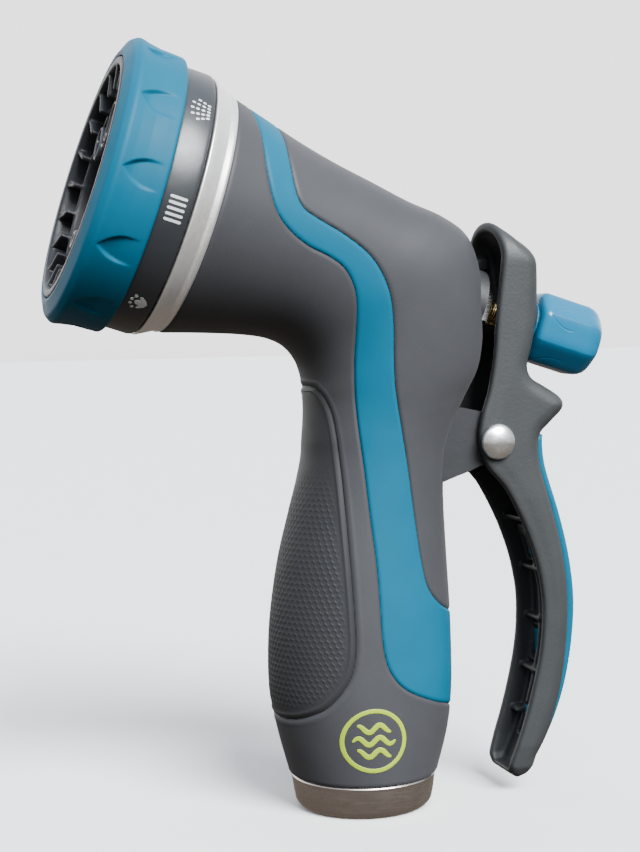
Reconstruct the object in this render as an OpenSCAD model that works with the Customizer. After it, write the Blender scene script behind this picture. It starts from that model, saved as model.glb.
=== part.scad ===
// Hose spray nozzle with a rear trigger, an eight-pattern dial and a flow knob.
// Origin: centre of the hose inlet's mouth. +Z up the handle, spray towards -X, Y along the trigger's pivot pin.

/* [Barrel] */
// how far the barrel points above the horizontal (degrees)
tilt = 18; // [10:1:25]
// height at which the barrel's axis crosses the handle's axis (mm)
axis_h = 133; // [128:1:138]

/* [Dial] */
// outer radius of the grip bezel (mm)
bezel_r = 34.3; // [33:0.1:36]
// outer radius of the selector ring (mm)
selector_r = 31.9; // [31:0.1:33]
// number of spray patterns
patterns = 8; // [4:1:10]
// number of finger dents round the bezel
dents = 12; // [8:1:16]
// number of radial ribs in the face grille
face_ribs = 20; // [12:1:28]
// radius of the circle on which the spray outlets lie (mm)
outlet_pcd_r = 14.5; // [13:0.5:16]

/* [Hose inlet] */
// minor radius of the 3/4 in garden hose thread (mm)
inlet_r = 12.45; // [12.3:0.05:12.6]
// depth of the threaded insert (mm)
inlet_len = 17.4; // [15:0.1:20]
// radius of the base collar at its top edge (mm)
collar_r = 18; // [17:0.1:19]

/* [Trigger] */
// pivot position along X (mm)
pivot_x = 32.8; // [31:0.1:35]
// pivot position along Z (mm)
pivot_z = 89.5; // [87:0.1:92]
// pivot pin radius (mm)
pin_r = 2; // [1.5:0.1:3]
// width of the trigger at the pivot (mm)
trigger_w = 21.6; // [20:0.2:24]
// thickness of the trigger's side walls (mm)
trigger_t = 2.6; // [2:0.1:3]

/* [Valve] */
// valve stem radius (mm)
stem_r = 3; // [2.5:0.1:3.5]
// radius of the valve chamber (mm)
chamber_r = 7.5; // [7:0.5:9]

/* [Knob] */
// knob radius over its corners (mm)
knob_r = 9.5; // [8:0.1:10]
// knob length (mm)
knob_len = 17; // [15:0.5:20]

/* [Skin] */
// thickness of the overmoulded skin (mm)
skin_t = 2.4; // [2:0.1:3]
// depth of the coloured stripe and of the palm pad (mm)
inlay_t = 1.2; // [0.8:0.1:1.5]

/* [Hidden] */
$fn = 96;
skin_c = [0.23, 0.23, 0.25];
blue = [0.02, 0.50, 0.68];
dark = [0.13, 0.13, 0.15];
grey = [0.30, 0.31, 0.32];
silver = [0.75, 0.74, 0.72];
brass = [0.72, 0.55, 0.25];
rubber = [0.06, 0.06, 0.06];

// Body sections, from the front flange round the bend and down the handle:
// inner-side point X, Z; outer-side point X, Z; half width; superellipse exponent
ribs = [
  [-48.8,117.9, -30.9,173.4, 29.4, 2.0], [-40.7,117.7, -24.0,169.1, 27.2, 2.0], [-30.8,117.2, -15.3,163.6, 24.6, 2.05],
  [-23.8,116.3, -6.4,158.6, 22.8, 2.1], [-19.3,114.7, 3.2,153.9, 21.4, 2.15], [-16.6,112.6, 12.7,149.2, 20.4, 2.2],
  [-14.8,110.0, 22.0,145.3, 19.6, 2.25], [-13.8,107.3, 28.4,140.3, 18.9, 2.3], [-13.3,104.5, 31.6,131.0, 18.2, 2.3],
  [-13.2,101.5, 32.3,120.0, 17.5, 2.3], [-13.2,98.5, 31.1,109.0, 16.8, 2.25], [-13.4,95.0, 27.5,101.4, 16.2, 2.2],
  [-13.8,91.0, 24.3,95.0, 15.8, 2.15], [-14.2,86.5, 22.2,88.0, 15.6, 2.1], [-15.6,80.0, 21.4,80.0, 15.6, 2.1],
  [-17.8,72.0, 21.5,72.0, 15.9, 2.1], [-20.6,61.0, 22.0,61.0, 16.7, 2.1], [-22.6,48.5, 22.6,48.5, 17.6, 2.1],
  [-23.3,38.0, 22.8,38.0, 18.2, 2.1], [-23.0,28.0, 22.6,28.0, 18.6, 2.1], [-21.2,18.5, 21.4,18.5, 18.7, 2.05],
  [-18.4,8.0, 18.4,8.0, 18.4, 2.0]];
last = len(ribs) - 1;

// Coloured stripe, seen from the side: front edge downwards, then rear edge upwards
stripe = [
  [-28.4,178], [-27.4,166], [-27.8,157], [-27.3,150], [-25.8,144.5], [-22.5,140.3], [-18,137], [-13,134.7], [-9.2,132.2],
  [-6.8,128.5], [-5.6,124], [-5.3,117], [-5.3,110.5], [-5,103], [-4.2,94], [-3.1,84.5], [-2,72.5], [-1,62.5], [-0.5,53],
  [-0.2,44], [0.8,37.8], [3.1,33.5], [6.6,30.5], [12.3,27.8], [18.6,25.4], [32,21], [32,44], [24,46.8], [19.4,48.8], [15.6,51.5], [12.7,55.6],
  [11,63], [9.7,72], [8,84], [6.3,93.5], [4.6,103], [4,110.5], [3.8,117.5], [3,124.5], [0.8,130.4], [-2.9,135.4],
  [-8.9,139.8], [-16,143.7], [-19.2,146], [-20.8,150], [-21.2,157], [-20.9,163], [-20.6,178]];

// Palm pad, seen from the side
pad = [
  [-32,104.6], [-16,104.4], [-13,104.1], [-12,103.3], [-10.8,101], [-9.7,97.5], [-9,92.6], [-8.3,84.3], [-7.9,77], [-7.5,68], [-7.1,58],
  [-6.8,49], [-6.8,42], [-7.5,37], [-8.9,33.4], [-11.3,30], [-14.1,27.2], [-17.4,25.3], [-21,23.8], [-32,21]];

// Trigger, seen from the side: front edge of the side walls from the top down
tr_front = [
  [30.4,143.2], [34.6,139.6], [35.4,135.5], [34.6,129.5], [33.6,120], [32.7,110], [31.2,102], [29.3,96], [28.5,91], [29.2,86.4],
  [31,82.6], [35,78], [38.4,72], [41.4,65.3], [43.8,58], [45.3,50], [45.5,43], [44.7,35], [43,27], [40.8,19], [38.3,11.5],
  [36.9,7.2], [37.1,4.8]];
// back of the trigger from the bottom up
tr_back = [
  [39.2,3.2], [42.4,5], [44.5,8.6], [47,13.5], [49,18.5], [50.6,24], [51.8,30], [52.6,37], [53,44], [52.9,51], [52,58.5], [50.4,66],
  [48.4,73], [46.4,79.6], [45.2,85], [45.4,90.4], [48.4,93.6], [51.3,96.4], [51.9,98.4], [50.6,100.4], [46.5,103], [43.4,105],
  [42.3,108], [43.5,112.5], [44.6,118], [45.1,125], [45.1,131], [44.4,134.4], [42.2,137.1], [38.4,140.2], [34.6,143], [32.2,144.3]];
// insert on the trigger's back, outer edge from the bottom up
ins_back = [[44.2,7.8], [46.6,11.6], [48.9,16.2], [51.2,22], [52.9,28], [54.2,35], [54.9,42], [54.9,49], [54,56.5], [52.5,64], [50.4,71.6], [48,79],
  [46.9,84], [46.8,88.4], [47.6,91.6]];

function cat(a, b, c, d, f) = 0.5 * (2 * b + (c - a) * f + (2 * a - 5 * b + 4 * c - d) * f * f + (3 * b - a - 3 * c + d) * f * f * f);
function pick(v, i) = i < 0 ? 2 * v[0] - v[1] : i > len(v) - 1 ? 2 * v[len(v) - 1] - v[len(v) - 2] : v[i];
function spl(v, t) = let(i = max(0, min(len(v) - 2, floor(t)))) cat(pick(v, i - 1), pick(v, i), pick(v, i + 1), pick(v, i + 2), t - i);
// an open smooth curve through the points of v, with n steps on each span
function curve(v, n = 3) = [for (k = [0 : n * (len(v) - 1)]) spl(v, k / n)];
function sg(x, p) = x < 0 ? -pow(-x, p) : pow(x, p);
// a ring of m points of the body section at t, set in by d
function ring(t, d, m) = let(r = spl(ribs, t), a = [r[0], r[1]], b = [r[2], r[3]], c = (a + b) / 2, h = (b - a) / 2,
  l = norm(h), q = h * ((l - d) / l), w = r[4] - d, p = 2 / r[5])
  [for (k = [0 : m - 1]) let(f = -360 * k / m, u = sg(cos(f), p), v = sg(sin(f), p)) [c[0] + q[0] * u, w * v, c[1] + q[1] * u]];
// a closed solid from rings of m points each
module loft(rr) {
  m = len(rr[0]); n = len(rr);
  pts = [for (r = rr) for (p = r) p];
  polyhedron(points = pts, faces = concat(
    [[for (k = [0 : m - 1]) k]],
    [for (i = [0 : n - 2]) for (k = [0 : m - 1]) let(a = i * m + k, b = i * m + (k + 1) % m) each [[a, a + m, b], [b, a + m, b + m]]],
    [[for (k = [m - 1 : -1 : 0]) (n - 1) * m + k]]));
}
module skin_solid(d, over = 0, m = 32) loft([for (k = [0 : 2 * last]) ring(over > 0 && k == 0 ? -over : over > 0 && k == 2 * last ? last + over : k / 2, d, m)]);
// a round wire along a helix about the local z axis
module coil(r, wire, z0, z1, turns, m = 6, per = 12) {
  n = turns * per;
  loft([for (i = [0 : n]) let(a = 360 * i / per, z = z0 + wire + (z1 - z0 - 2 * wire) * i / n)
    [for (k = [0 : m - 1]) let(q = -360 * k / m, c = r + wire * cos(q)) [c * cos(a), c * sin(a), z + wire * sin(q)]]]);
}
// children are drawn with local z along the barrel, towards the spray, and local x upwards
module at_barrel() translate([0, 0, axis_h]) rotate([0, tilt - 90, 0]) children();
module tube(r, ri, z0, z1) translate([0, 0, z0]) difference() { cylinder(r = r, h = z1 - z0); translate([0, 0, -1]) cylinder(r = ri, h = z1 - z0 + 2); }
module rod(r, z0, z1) translate([0, 0, z0]) cylinder(r = r, h = z1 - z0);
module spin(pts) rotate_extrude() polygon(pts);
module along_y(w) rotate([90, 0, 0]) translate([0, 0, -w / 2]) linear_extrude(w) children();
module outlets() for (k = [0 : patterns - 1]) rotate(360 * k / patterns) translate([outlet_pcd_r, 0, 0]) children();

// ---- body ----
module bracket_shape(g = 0) {
  along_y(15.6 + 2 * g) offset(delta = g) polygon([[12,98.6], [22,98.6], [29.4,97], [34,95.6], [37.6,92.6], [38.8,89.4], [37.6,86], [34.6,84], [29.4,83.4], [26.6,82.2], [19,79.6], [12,78]]);
}
module bracket() rotate([90, 0, 0]) translate([0, 0, -7.8]) linear_extrude(15.6)
  polygon([[8,98.6], [22,98.6], [29.4,97], [34,95.6], [37.6,92.6], [38.8,89.4], [37.6,86], [34.6,84], [29.4,83.4], [26.6,82.2], [19,79.6], [8,78]]);

module body_core() color(dark) difference() {
  union() {
    at_barrel() {
      rod(chamber_r + 1.7, -32.6, 28);
      translate([outlet_pcd_r, 0, 0]) rod(6.4, 20, 41);
      translate([0, 0, 37]) cylinder(r1 = 24.2, r2 = 26, h = 4.7);
      rod(27.15, 41.9, 43.5);
      rod(26, 41.6, 42);
      rod(6.5, 27, 47.3);
      translate([-20, 0, 0]) rod(4, 33, 41);
      for (a = [45, 135, 180, 225, 315]) rotate(a) translate([0, -1.2, 20]) cube([20, 2.4, 17.5]);
    }
    rod(10.5, 17.5, 127);
    rod(15.95, 17.5, 21);
    translate([-10.8, -1.2, 20]) cube([28, 2.4, 66]);
    translate([-1.2, -12.6, 20]) cube([2.4, 25.2, 50]);
    bracket();
  }
  rod(7.5, 17, 130);
  at_barrel() {
    rod(chamber_r, -34, 12);
    rod(6.5, 11, 27);
    translate([0, 0, 24.6]) rotate([0, 90, 0]) cylinder(r = 3.4, h = outlet_pcd_r);
    translate([outlet_pcd_r, 0, 0]) rod(5.2, 21.2, 44);
    translate([-20, 0, 0]) rod(2.1, 35.5, 44);
    rod(1.6, 33, 48);
  }
  translate([pivot_x, 0, pivot_z]) rotate([90, 0, 0]) cylinder(r = pin_r, h = 40, center = true);
}
module stripe_zone(g = 0) along_y(90) offset(delta = -g) polygon(stripe);
module pad_zone(g = 0) along_y(90) offset(delta = -g) polygon(pad);
module grip_skin() color(skin_c) resize([0, 0, 0]) difference() {
  skin_solid(0);
  skin_solid(skin_t, 0.4);
  difference() { union() { stripe_zone(); pad_zone(); } skin_solid(inlay_t, 0.4); }
  bracket_shape(0.05);
  at_barrel() rod(chamber_r + 1.9, -45, -20, $fn = 64);
  rod(16.05, 0, 21.1, $fn = 64);
}
module stripe_inlay() color(blue) resize([0, 0, 0]) intersection() {
  stripe_zone(0.05);
  difference() { skin_solid(0); skin_solid(inlay_t - 0.05, 0.4); }
}
module palm_pad() color(skin_c) resize([0, 0, 0]) intersection() {
  pad_zone(0.05);
  difference() { skin_solid(0); skin_solid(inlay_t - 0.05, 0.4); }
}
module trim_ring() color(silver) at_barrel() spin([[27.2,41.95], [29.2,41.95], [29.5,42.2], [29.6,43.1], [29.3,43.4], [29.7,43.8], [31.4,46.9], [31.8,47.7], [31.4,48], [27.6,48], [27.2,47.6]]);
module base_collar() color(silver) spin([[14.62,0], [15.4,0], [16.6,0.7], [17.2,2], [17.6,5], [collar_r,7.4], [collar_r - 0.3,8], [14.62,8]]);
module hose_insert() color(brass) spin([[inlet_r,0], [14.56,0], [14.56,8.05], [15.95,8.05], [15.95,inlet_len], [12.9,inlet_len], [12.9,15], [inlet_r,15]]);
module hose_washer() color(rubber) tube(12.85, 8, 15.02, inlet_len + 0.05);
module valve_seat() color(brass) at_barrel() spin([[4.9,9.8], [5.4,9.6], [6,9.8], [chamber_r - 0.03,9.8], [chamber_r - 0.03,12], [4.9,12]]);
module gland_plug() color(grey) at_barrel() difference() { rod(chamber_r - 0.04, -32.5, -25); rod(stem_r + 0.05, -40, -20); translate([0, 0, -30]) rotate_extrude() translate([stem_r + 0.9, 0]) circle(r = 1, $fn = 32); }
module gland_nut() color(silver) at_barrel() difference() { union() { translate([0, 0, -35.2]) cylinder(r = 6.3, h = 2.2, $fn = 6); rod(6.9, -33.2, -32.62); } rod(stem_r + 0.06, -40, -30); }
module stem_seal() color(rubber) at_barrel() translate([0, 0, -30]) rotate_extrude() translate([stem_r + 0.96, 0]) circle(r = 0.9, $fn = 32);
module return_spring() color(silver) at_barrel() coil(4.9, 0.6, -24.9, 3.4, 7);
module outlet_seal() color(rubber) at_barrel() translate([outlet_pcd_r, 0, 0]) tube(5.15, 3.2, 38.5, 43.94);
module outlet_spring() color(silver) at_barrel() translate([outlet_pcd_r, 0, 0]) coil(4.1, 0.4, 26.5, 38.4, 6);
module detent_spring() color(silver) at_barrel() translate([-20, 0, 0]) coil(1.4, 0.25, 35.6, 39.9, 4);
module pivot_pin() color(silver) translate([pivot_x, 0, pivot_z]) rotate([90, 0, 0]) {
  rod(pin_r, -12, 12);
  for (s = [0, 1]) mirror([0, 0, s]) translate([0, 0, 11.1]) spin([[0,0], [3.9,0], [4,0.3], [3.7,1], [3,1.6], [2,2.1], [1,2.35], [0,2.4]]);
}
module dial_screw() color(silver) at_barrel() difference() {
  union() { rod(1.6, 34, 49); translate([0, 0, 48.65]) spin([[0,0], [3.8,0], [3.8,1.2], [3.2,2], [2,2.5], [0,2.6]]); }
  for (a = [0, 90]) rotate(a) translate([-2, -0.45, 50.2]) cube([4, 0.9, 2]);
}
module screw_washer() color(silver) at_barrel() tube(8.4, 1.65, 47.35, 48.6);

// ---- dial ----
module spray_manifold() color(dark) at_barrel() difference() {
  union() { rod(26.7, 44, 47); tube(26.7, 24.2, 46.9, 58.9); outlets() rod(5.1, 46.9, 59.9); }
  rod(6.55, 43, 48);
  outlets() rod(3.3, 43, 61);
  for (k = [0 : patterns - 1]) rotate(180 + 360 * k / patterns) translate([20, 0, 43.2]) sphere(r = 1.8, $fn = 32);
}
module selector_ring() color(dark) at_barrel() spin([[26.75,48.4], [selector_r - 0.4,48.4], [selector_r,48.9], [selector_r,55.4], [26.75,55.4]]);
module dial_bezel() color(blue) at_barrel() difference() {
  let(b = bezel_r) spin([[28.9,55.5], [b - 1.3,55.5], [b - 0.6,55.8], [b - 0.3,56.6], [b - 0.2,60], [b + 0.2,64], [b + 0.4,66.4], [b + 0.2,68], [b - 0.5,69.2], [b - 1.7,69.9], [b - 3.3,70], [b - 4.5,69.8], [28.9,69.2]]);
  for (k = [0 : dents - 1]) rotate(90 + 360 * k / dents) translate([bezel_r + 10.8, 0, 61.6]) sphere(r = 12, $fn = 48);
}
module face_plate() color(dark) at_barrel() difference() {
  union() {
    tube(28.85, 27.2, 55.5, 68.6);
    tube(28.85, 26.75, 55.5, 59.1);
    tube(23.2, 21.6, 60, 66.4);
    rod(22.4, 60, 62);
    for (k = [0 : face_ribs - 1]) rotate(360 * k / face_ribs) translate([22.4, -0.6, 59]) cube([5.4, 1.2, 7.6]);
    outlets() tube(6, 4, 61.9, 63.4);
  }
  rod(8.5, 59, 63);
  outlets() rod(4, 59, 62.1);
}
module tip_at(k) at_barrel() rotate(360 * k / patterns) translate([outlet_pcd_r, 0, 0]) children();
module jet_tip() color(grey) tip_at(4) difference() { spin([[0,60], [3.95,60], [3.95,63.5], [3.4,64.2], [2.3,68], [0,68]]); rod(1.3, 59, 69); }
// a tall slot nozzle with rounded ends; turn is the slot's direction
module tower(turn) difference() {
  union() { rod(3.95, 60, 63.6); translate([0, 0, 63.45]) linear_extrude(4.25) { translate([-2.2, -3]) square([4.4, 6]); for (s = [-1, 1]) translate([2.2 * s, 0]) circle(r = 3); } }
  rod(1.9, 59, 66.4);
  rotate(turn) translate([-2.4, -0.45, 65]) cube([4.8, 0.9, 4]);
}
module flat_tip() color(grey) tip_at(0) tower(0);
module fan_tip() color(grey) tip_at(1) tower(90);
module hub_cap() color(dark) at_barrel() difference() {
  union() { rod(8.45, 60, 62); rod(5.6, 61.9, 65.4); for (k = [0 : 11]) rotate(30 * k) translate([5, 0, 61.9]) cylinder(r = 1, h = 3.5, $fn = 24); }
  rod(3.4, 64.2, 66);
  rod(2, 61, 65);
}
module cone_tip() color(grey) tip_at(5) { tube(3.95, 2.9, 60, 66); rod(1.4, 60, 67); for (a = [0, 120, 240]) rotate(a) translate([0, -0.4, 60]) cube([3.3, 0.8, 2]); }
module mist_tip() color(grey) tip_at(6) difference() { union() { rod(3.95, 60, 64.4); rod(5.4, 63.45, 65.2); } rod(1.6, 59, 64.4); rod(0.5, 59, 66); for (k = [0 : 5]) rotate(60 * k) translate([2.6, 0, 59]) cylinder(r = 0.45, h = 8, $fn = 24); }

// ---- trigger ----
// outline seen from the front: an arch with straight sides that draw in towards the bottom
function arch(g) = let(w = trigger_w / 2 - g) concat(
  [for (a = [0 : 15 : 180]) [w * cos(a), 133.4 + w * sin(a)]],
  [[-w, 75], [-w + 0.9, 45], [-w + 1.8, 12], [-w + 2.6, 6.4 + g], [-w + 4.8, 3 + g], [w - 4.8, 3 + g], [w - 2.6, 6.4 + g], [w - 1.8, 12], [w - 0.9, 45], [w, 75]]);
module front_prism(g) translate([60, 0, 0]) rotate([90, 0, -90]) linear_extrude(60) polygon(arch(g));
module side_prism(w, back_in = 0, front_out = 0) along_y(w) polygon(concat(
  [for (p = curve(tr_front, 2)) [p[0] - front_out, p[1]]], [for (p = curve(tr_back, 2)) [p[0] - back_in, p[1]]]));
module trigger_lever() color(grey) resize([0, 0, 0]) difference() {
  union() {
    intersection() {
      front_prism(0);
      union() { side_prism(trigger_w - 5.4); side_prism(trigger_w - 3, 0.45); side_prism(trigger_w - 1.4, 1.2); side_prism(trigger_w + 1, 2.6); }
    }
    // rounded pad that pushes the knob's washer
    intersection() { front_prism(3); translate([39.66, 0, 120.1]) rotate([90, 0, 0]) cylinder(r = 6, h = 14, center = true, $fn = 64); translate([40, -20, 100]) cube([20, 40, 40]); }
  }
  // open channel
  difference() {
    intersection() { front_prism(trigger_t); side_prism(60, 3, 30); }
    along_y(1.6) polygon(concat([[46, 76]], [for (p = curve(tr_front, 1)) if (p[1] < 72 && p[1] > 12) [p[0] + 2.6, p[1]]], [[44, 10], [60, 10], [60, 76]]));
    for (z = [68, 55, 42, 29, 18]) translate([30, -10, z]) cube([30, 20, 1.4]);
  }
  intersection() { front_prism(trigger_t); along_y(60) polygon([[20, 60], [20, 152], [34.4, 142.6], [38, 138.2], [41, 134.4], [41.6, 128], [41.5, 118], [40.4, 110], [39.4, 106], [42, 101.6], [44.4, 98.4], [42.8, 95.4], [42.2, 90], [42.3, 84], [41, 78], [42, 72], [40, 60]]); }
  translate([pivot_x, 0, pivot_z]) rotate([90, 0, 0]) cylinder(r = pin_r + 0.1, h = 60, center = true, $fn = 48);
  // slot for the valve stem
  translate([0, 0, axis_h]) rotate([0, tilt - 90, 0]) translate([-3.5, -3.5, -52]) cube([8.8, 7, 12]);
  // windows for the insert's clips
  for (c = clips) translate([c[0] - 3, c[2] - 2.2, c[1] - 4]) cube([12, 4.4, 8]);
}
clips = [[49, 62, 3.6], [50.4, 44, -3.6], [50.4, 36, 3.6], [46, 17, 0]];
module trigger_insert() color(blue) resize([0, 0, 0]) {
  intersection() {
    front_prism(3.4);
    along_y(60) polygon(concat(curve(ins_back, 2), [for (k = [2 * 15 + 1 : -1 : 4]) let(p = spl(tr_back, k / 2)) if (p[1] < 91 && p[1] > 6) p + [0.02, 0]]));
  }
  for (c = clips) translate([c[0] - 1.4, c[2] - 1.9, c[1] - 3.4]) cube([4.6, 3.8, 6.8]);
}

// ---- valve ----
module valve_stem() color(brass) at_barrel() rod(stem_r, -62.5, 12.2);
module valve_plunger() color(brass) at_barrel() difference() { union() { rod(6.3, 4.6, 7.2); rod(5.7, 3.6, 4.7); } rod(stem_r, 0, 12); }
module plunger_seal() color(rubber) at_barrel() tube(6.2, stem_r, 7.22, 9.45);
module plunger_nut() color(brass) at_barrel() difference() { rod(4.4, 9.47, 11.8); rod(stem_r, 9, 13); }

// ---- knob ----
module knob_washer() color([0.9, 0.9, 0.88]) at_barrel() tube(6, stem_r + 0.05, -49.1, -48);
module flow_knob() color([0.0, 0.55, 0.78]) at_barrel() difference() {
  union() {
    rod(6.2, -50.2, -49.2);
    intersection() {
      spin([[0,-49.5 - knob_len], [5.6,-49.5 - knob_len], [7.6,-49 - knob_len], [8.8,-47.8 - knob_len], [knob_r,-46 - knob_len], [knob_r,-51], [9,-50], [8,-49.6], [0,-49.6]]);
      rotate(22.5) translate([0, 0, -49.5 - knob_len]) cylinder(r = knob_r / cos(22.5) * 0.975, h = knob_len, $fn = 8);
    }
  }
  rod(5, -64.5, -48);
}
module knob_insert() color(brass) at_barrel() tube(4.98, stem_r + 0.05, -63, -49.3);
module detent_ball() color(silver) at_barrel() translate([-20, 0, 41.95]) sphere(r = 2, $fn = 48);

body_core();
grip_skin();
stripe_inlay();
palm_pad();
trim_ring();
base_collar();
hose_insert();
hose_washer();
valve_seat();
gland_plug();
gland_nut();
stem_seal();
return_spring();
outlet_seal();
outlet_spring();
detent_spring();
pivot_pin();
dial_screw();
screw_washer();
spray_manifold();
selector_ring();
dial_bezel();
face_plate();
hub_cap();
jet_tip();
flat_tip();
fan_tip();
cone_tip();
mist_tip();
trigger_lever();
trigger_insert();
valve_stem();
valve_plunger();
plunger_seal();
plunger_nut();
knob_washer();
flow_knob();
knob_insert();
detent_ball();
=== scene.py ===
import bpy
import math
import numpy as np
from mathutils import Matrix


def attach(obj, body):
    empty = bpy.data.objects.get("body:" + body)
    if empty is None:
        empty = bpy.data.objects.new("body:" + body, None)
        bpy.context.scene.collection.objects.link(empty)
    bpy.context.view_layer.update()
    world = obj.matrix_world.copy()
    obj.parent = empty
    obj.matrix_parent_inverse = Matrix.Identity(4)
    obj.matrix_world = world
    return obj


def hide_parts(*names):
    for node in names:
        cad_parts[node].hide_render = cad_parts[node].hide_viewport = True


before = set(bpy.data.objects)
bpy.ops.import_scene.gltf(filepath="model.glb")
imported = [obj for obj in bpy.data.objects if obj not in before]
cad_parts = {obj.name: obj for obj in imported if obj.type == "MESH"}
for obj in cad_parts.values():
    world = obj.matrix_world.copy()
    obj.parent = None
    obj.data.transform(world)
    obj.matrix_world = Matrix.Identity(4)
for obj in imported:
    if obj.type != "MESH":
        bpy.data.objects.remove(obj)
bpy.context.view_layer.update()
AL = math.radians(18)
CA, SA = math.cos(AL), math.sin(AL)
H0 = 133.0
COLL = bpy.context.scene.collection

# ------------------------------------------------------------------ helpers
def mesh_object(name, V, F, mat, body, rep=(), smooth=True, attrs=None):
    """V in mm, F a list or array of faces (3 or 4 corners)."""
    me = bpy.data.meshes.new(name)
    V = np.asarray(V, float) * 0.001
    F = [np.asarray(f) for f in (F if isinstance(F, (list, tuple)) and len(F) and np.ndim(F[0]) == 2 else [np.asarray(F)])]
    F = [f for f in F if len(f)]
    nl = sum(f.size for f in F); nf = sum(len(f) for f in F)
    me.vertices.add(len(V)); me.vertices.foreach_set("co", V.astype(np.float32).ravel())
    me.loops.add(nl); me.polygons.add(nf)
    loops = np.concatenate([f.ravel() for f in F]).astype(np.int32)
    tot = np.concatenate([np.full(len(f), f.shape[1]) for f in F]).astype(np.int32)
    start = np.concatenate([[0], np.cumsum(tot)[:-1]]).astype(np.int32)
    me.loops.foreach_set("vertex_index", loops)
    me.polygons.foreach_set("loop_start", start)
    me.polygons.foreach_set("loop_total", tot)
    me.update(calc_edges=True); me.validate()
    me.polygons.foreach_set("use_smooth", np.full(len(me.polygons), smooth))
    for k, a in (attrs or {}).items():
        at = me.attributes.new(k, "FLOAT", "POINT"); at.data.foreach_set("value", np.asarray(a, np.float32))
    me.materials.append(mat)
    o = bpy.data.objects.new(name, me); COLL.objects.link(o)
    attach(o, body)
    if rep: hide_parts(*rep)
    return o

def barrel(P):
    """local (up, y, s) to row mm"""
    P = np.asarray(P, float); r, y, s = P[..., 0], P[..., 1], P[..., 2]
    return np.stack([-s * CA + r * SA, y, H0 + s * SA + r * CA], -1)

def grid_faces(n, m, close_v=True, close_u=False, flip=False):
    """faces of an n x m grid of points, closed round the second index"""
    i = np.arange(n if close_u else n - 1)[:, None]; j = np.arange(m if close_v else m - 1)[None, :]
    a = i * m + j; b = i * m + (j + 1) % m; c = ((i + 1) % n) * m + (j + 1) % m; d = ((i + 1) % n) * m + j
    Q = np.stack([a, d, c, b] if flip else [a, b, c, d], -1).reshape(-1, 4)
    return Q

def cat_curve(pts, n, closed=False):
    P = np.asarray(pts, float); m = len(P)
    if closed:
        Q = np.vstack([P[-1], P, P[0], P[1]]); spans = m
    else:
        Q = np.vstack([2 * P[0] - P[1], P, 2 * P[-1] - P[-2]]); spans = m - 1
    t = np.linspace(0, spans, spans * n + 1)
    if closed: t = t[:-1]
    i = np.minimum(np.floor(t).astype(int), spans - 1); f = (t - i)[:, None]
    a, b, c, d = Q[i], Q[i + 1], Q[i + 2], Q[i + 3]
    return 0.5 * (2 * b + (c - a) * f + (2 * a - 5 * b + 4 * c - d) * f * f + (3 * b - a - 3 * c + d) * f ** 3)

def round_profile(pts, k=4):
    """fine polyline through a list of (r, s[, corner radius])"""
    out = []; n = len(pts)
    for i, p in enumerate(pts):
        rad = p[2] if len(p) > 2 else 0
        a = np.array(pts[i - 1][:2], float); b = np.array(p[:2], float); c = np.array(pts[(i + 1) % n][:2], float)
        if rad <= 0: out.append(b); continue
        u = (a - b) / np.linalg.norm(a - b); v = (c - b) / np.linalg.norm(c - b)
        ang = math.acos(max(-1, min(1, float(u @ v)))); d = rad / math.tan(ang / 2)
        d = min(d, np.linalg.norm(a - b) * 0.49, np.linalg.norm(c - b) * 0.49); rr = d * math.tan(ang / 2)
        cen = b + (u + v) / np.linalg.norm(u + v) * (rr / math.sin(ang / 2))
        p0 = b + u * d - cen; p1 = b + v * d - cen
        a0 = math.atan2(p0[1], p0[0]); a1 = math.atan2(p1[1], p1[0]); da = (a1 - a0 + math.pi) % (2 * math.pi) - math.pi
        for q in range(k + 1):
            w = a0 + da * q / k; out.append(cen + rr * np.array([math.cos(w), math.sin(w)]))
    return np.array(out)

def densify(P, step, closed=True):
    out = []; n = len(P)
    for i in range(n if closed else n - 1):
        a = P[i]; b = P[(i + 1) % n]; m = max(1, int(math.ceil(np.linalg.norm(b - a) / step)))
        for q in range(m): out.append(a + (b - a) * q / m)
    if not closed: out.append(P[-1])
    return np.array(out)

def revolve(name, prof, n, mat, body, rep=(), warp=None, local="barrel", closed=True, step=None, rfun=None):
    """prof: closed (r, s) loop round the local axis; warp(r, s, ang) -> r"""
    P = densify(np.asarray(prof, float), step, closed) if step else np.asarray(prof, float)
    if area(P) < 0: P = P[::-1]
    A = 2 * np.pi * np.arange(n) / n
    r = np.repeat(P[:, :1], n, 1); s = np.repeat(P[:, 1:2], n, 1); a = np.repeat(A[None], len(P), 0)
    if warp is not None: r, s = warp(r, s, a)
    L = np.stack([r * np.cos(a), r * np.sin(a), s], -1).reshape(-1, 3)
    V = barrel(L) if local == "barrel" else L + np.array(local)
    F = grid_faces(len(P), n, True, closed)
    # outward: area>0 means counter-clockwise in (r, s)
    F = F[:, ::-1]
    return mesh_object(name, V, F, mat, body, rep)

def area(P):
    x, y = P[:, 0], P[:, 1]
    return 0.5 * np.sum(x * np.roll(y, -1) - np.roll(x, -1) * y)

def sd_poly(P, X, Y):
    """signed distance to a closed polygon, negative inside"""
    P = np.asarray(P, float); d = np.full(X.shape, 1e9); s = np.ones(X.shape)
    for i in range(len(P)):
        a = P[i]; b = P[i - 1]; e = b - a; wx = X - a[0]; wy = Y - a[1]
        t = np.clip((wx * e[0] + wy * e[1]) / max(e @ e, 1e-12), 0, 1)
        d = np.minimum(d, (wx - e[0] * t) ** 2 + (wy - e[1] * t) ** 2)
        c1 = Y >= a[1]; c2 = Y < b[1]; c3 = e[0] * wy > e[1] * wx
        s = np.where((c1 & c2 & c3) | (~c1 & ~c2 & ~c3), -s, s)
    return s * np.sqrt(d)

def smax(a, b, k):
    h = np.maximum(k - np.abs(a - b), 0) / k
    return np.maximum(a, b) + h * h * k * 0.25

def smin(a, b, k): return -smax(-a, -b, k)

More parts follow.
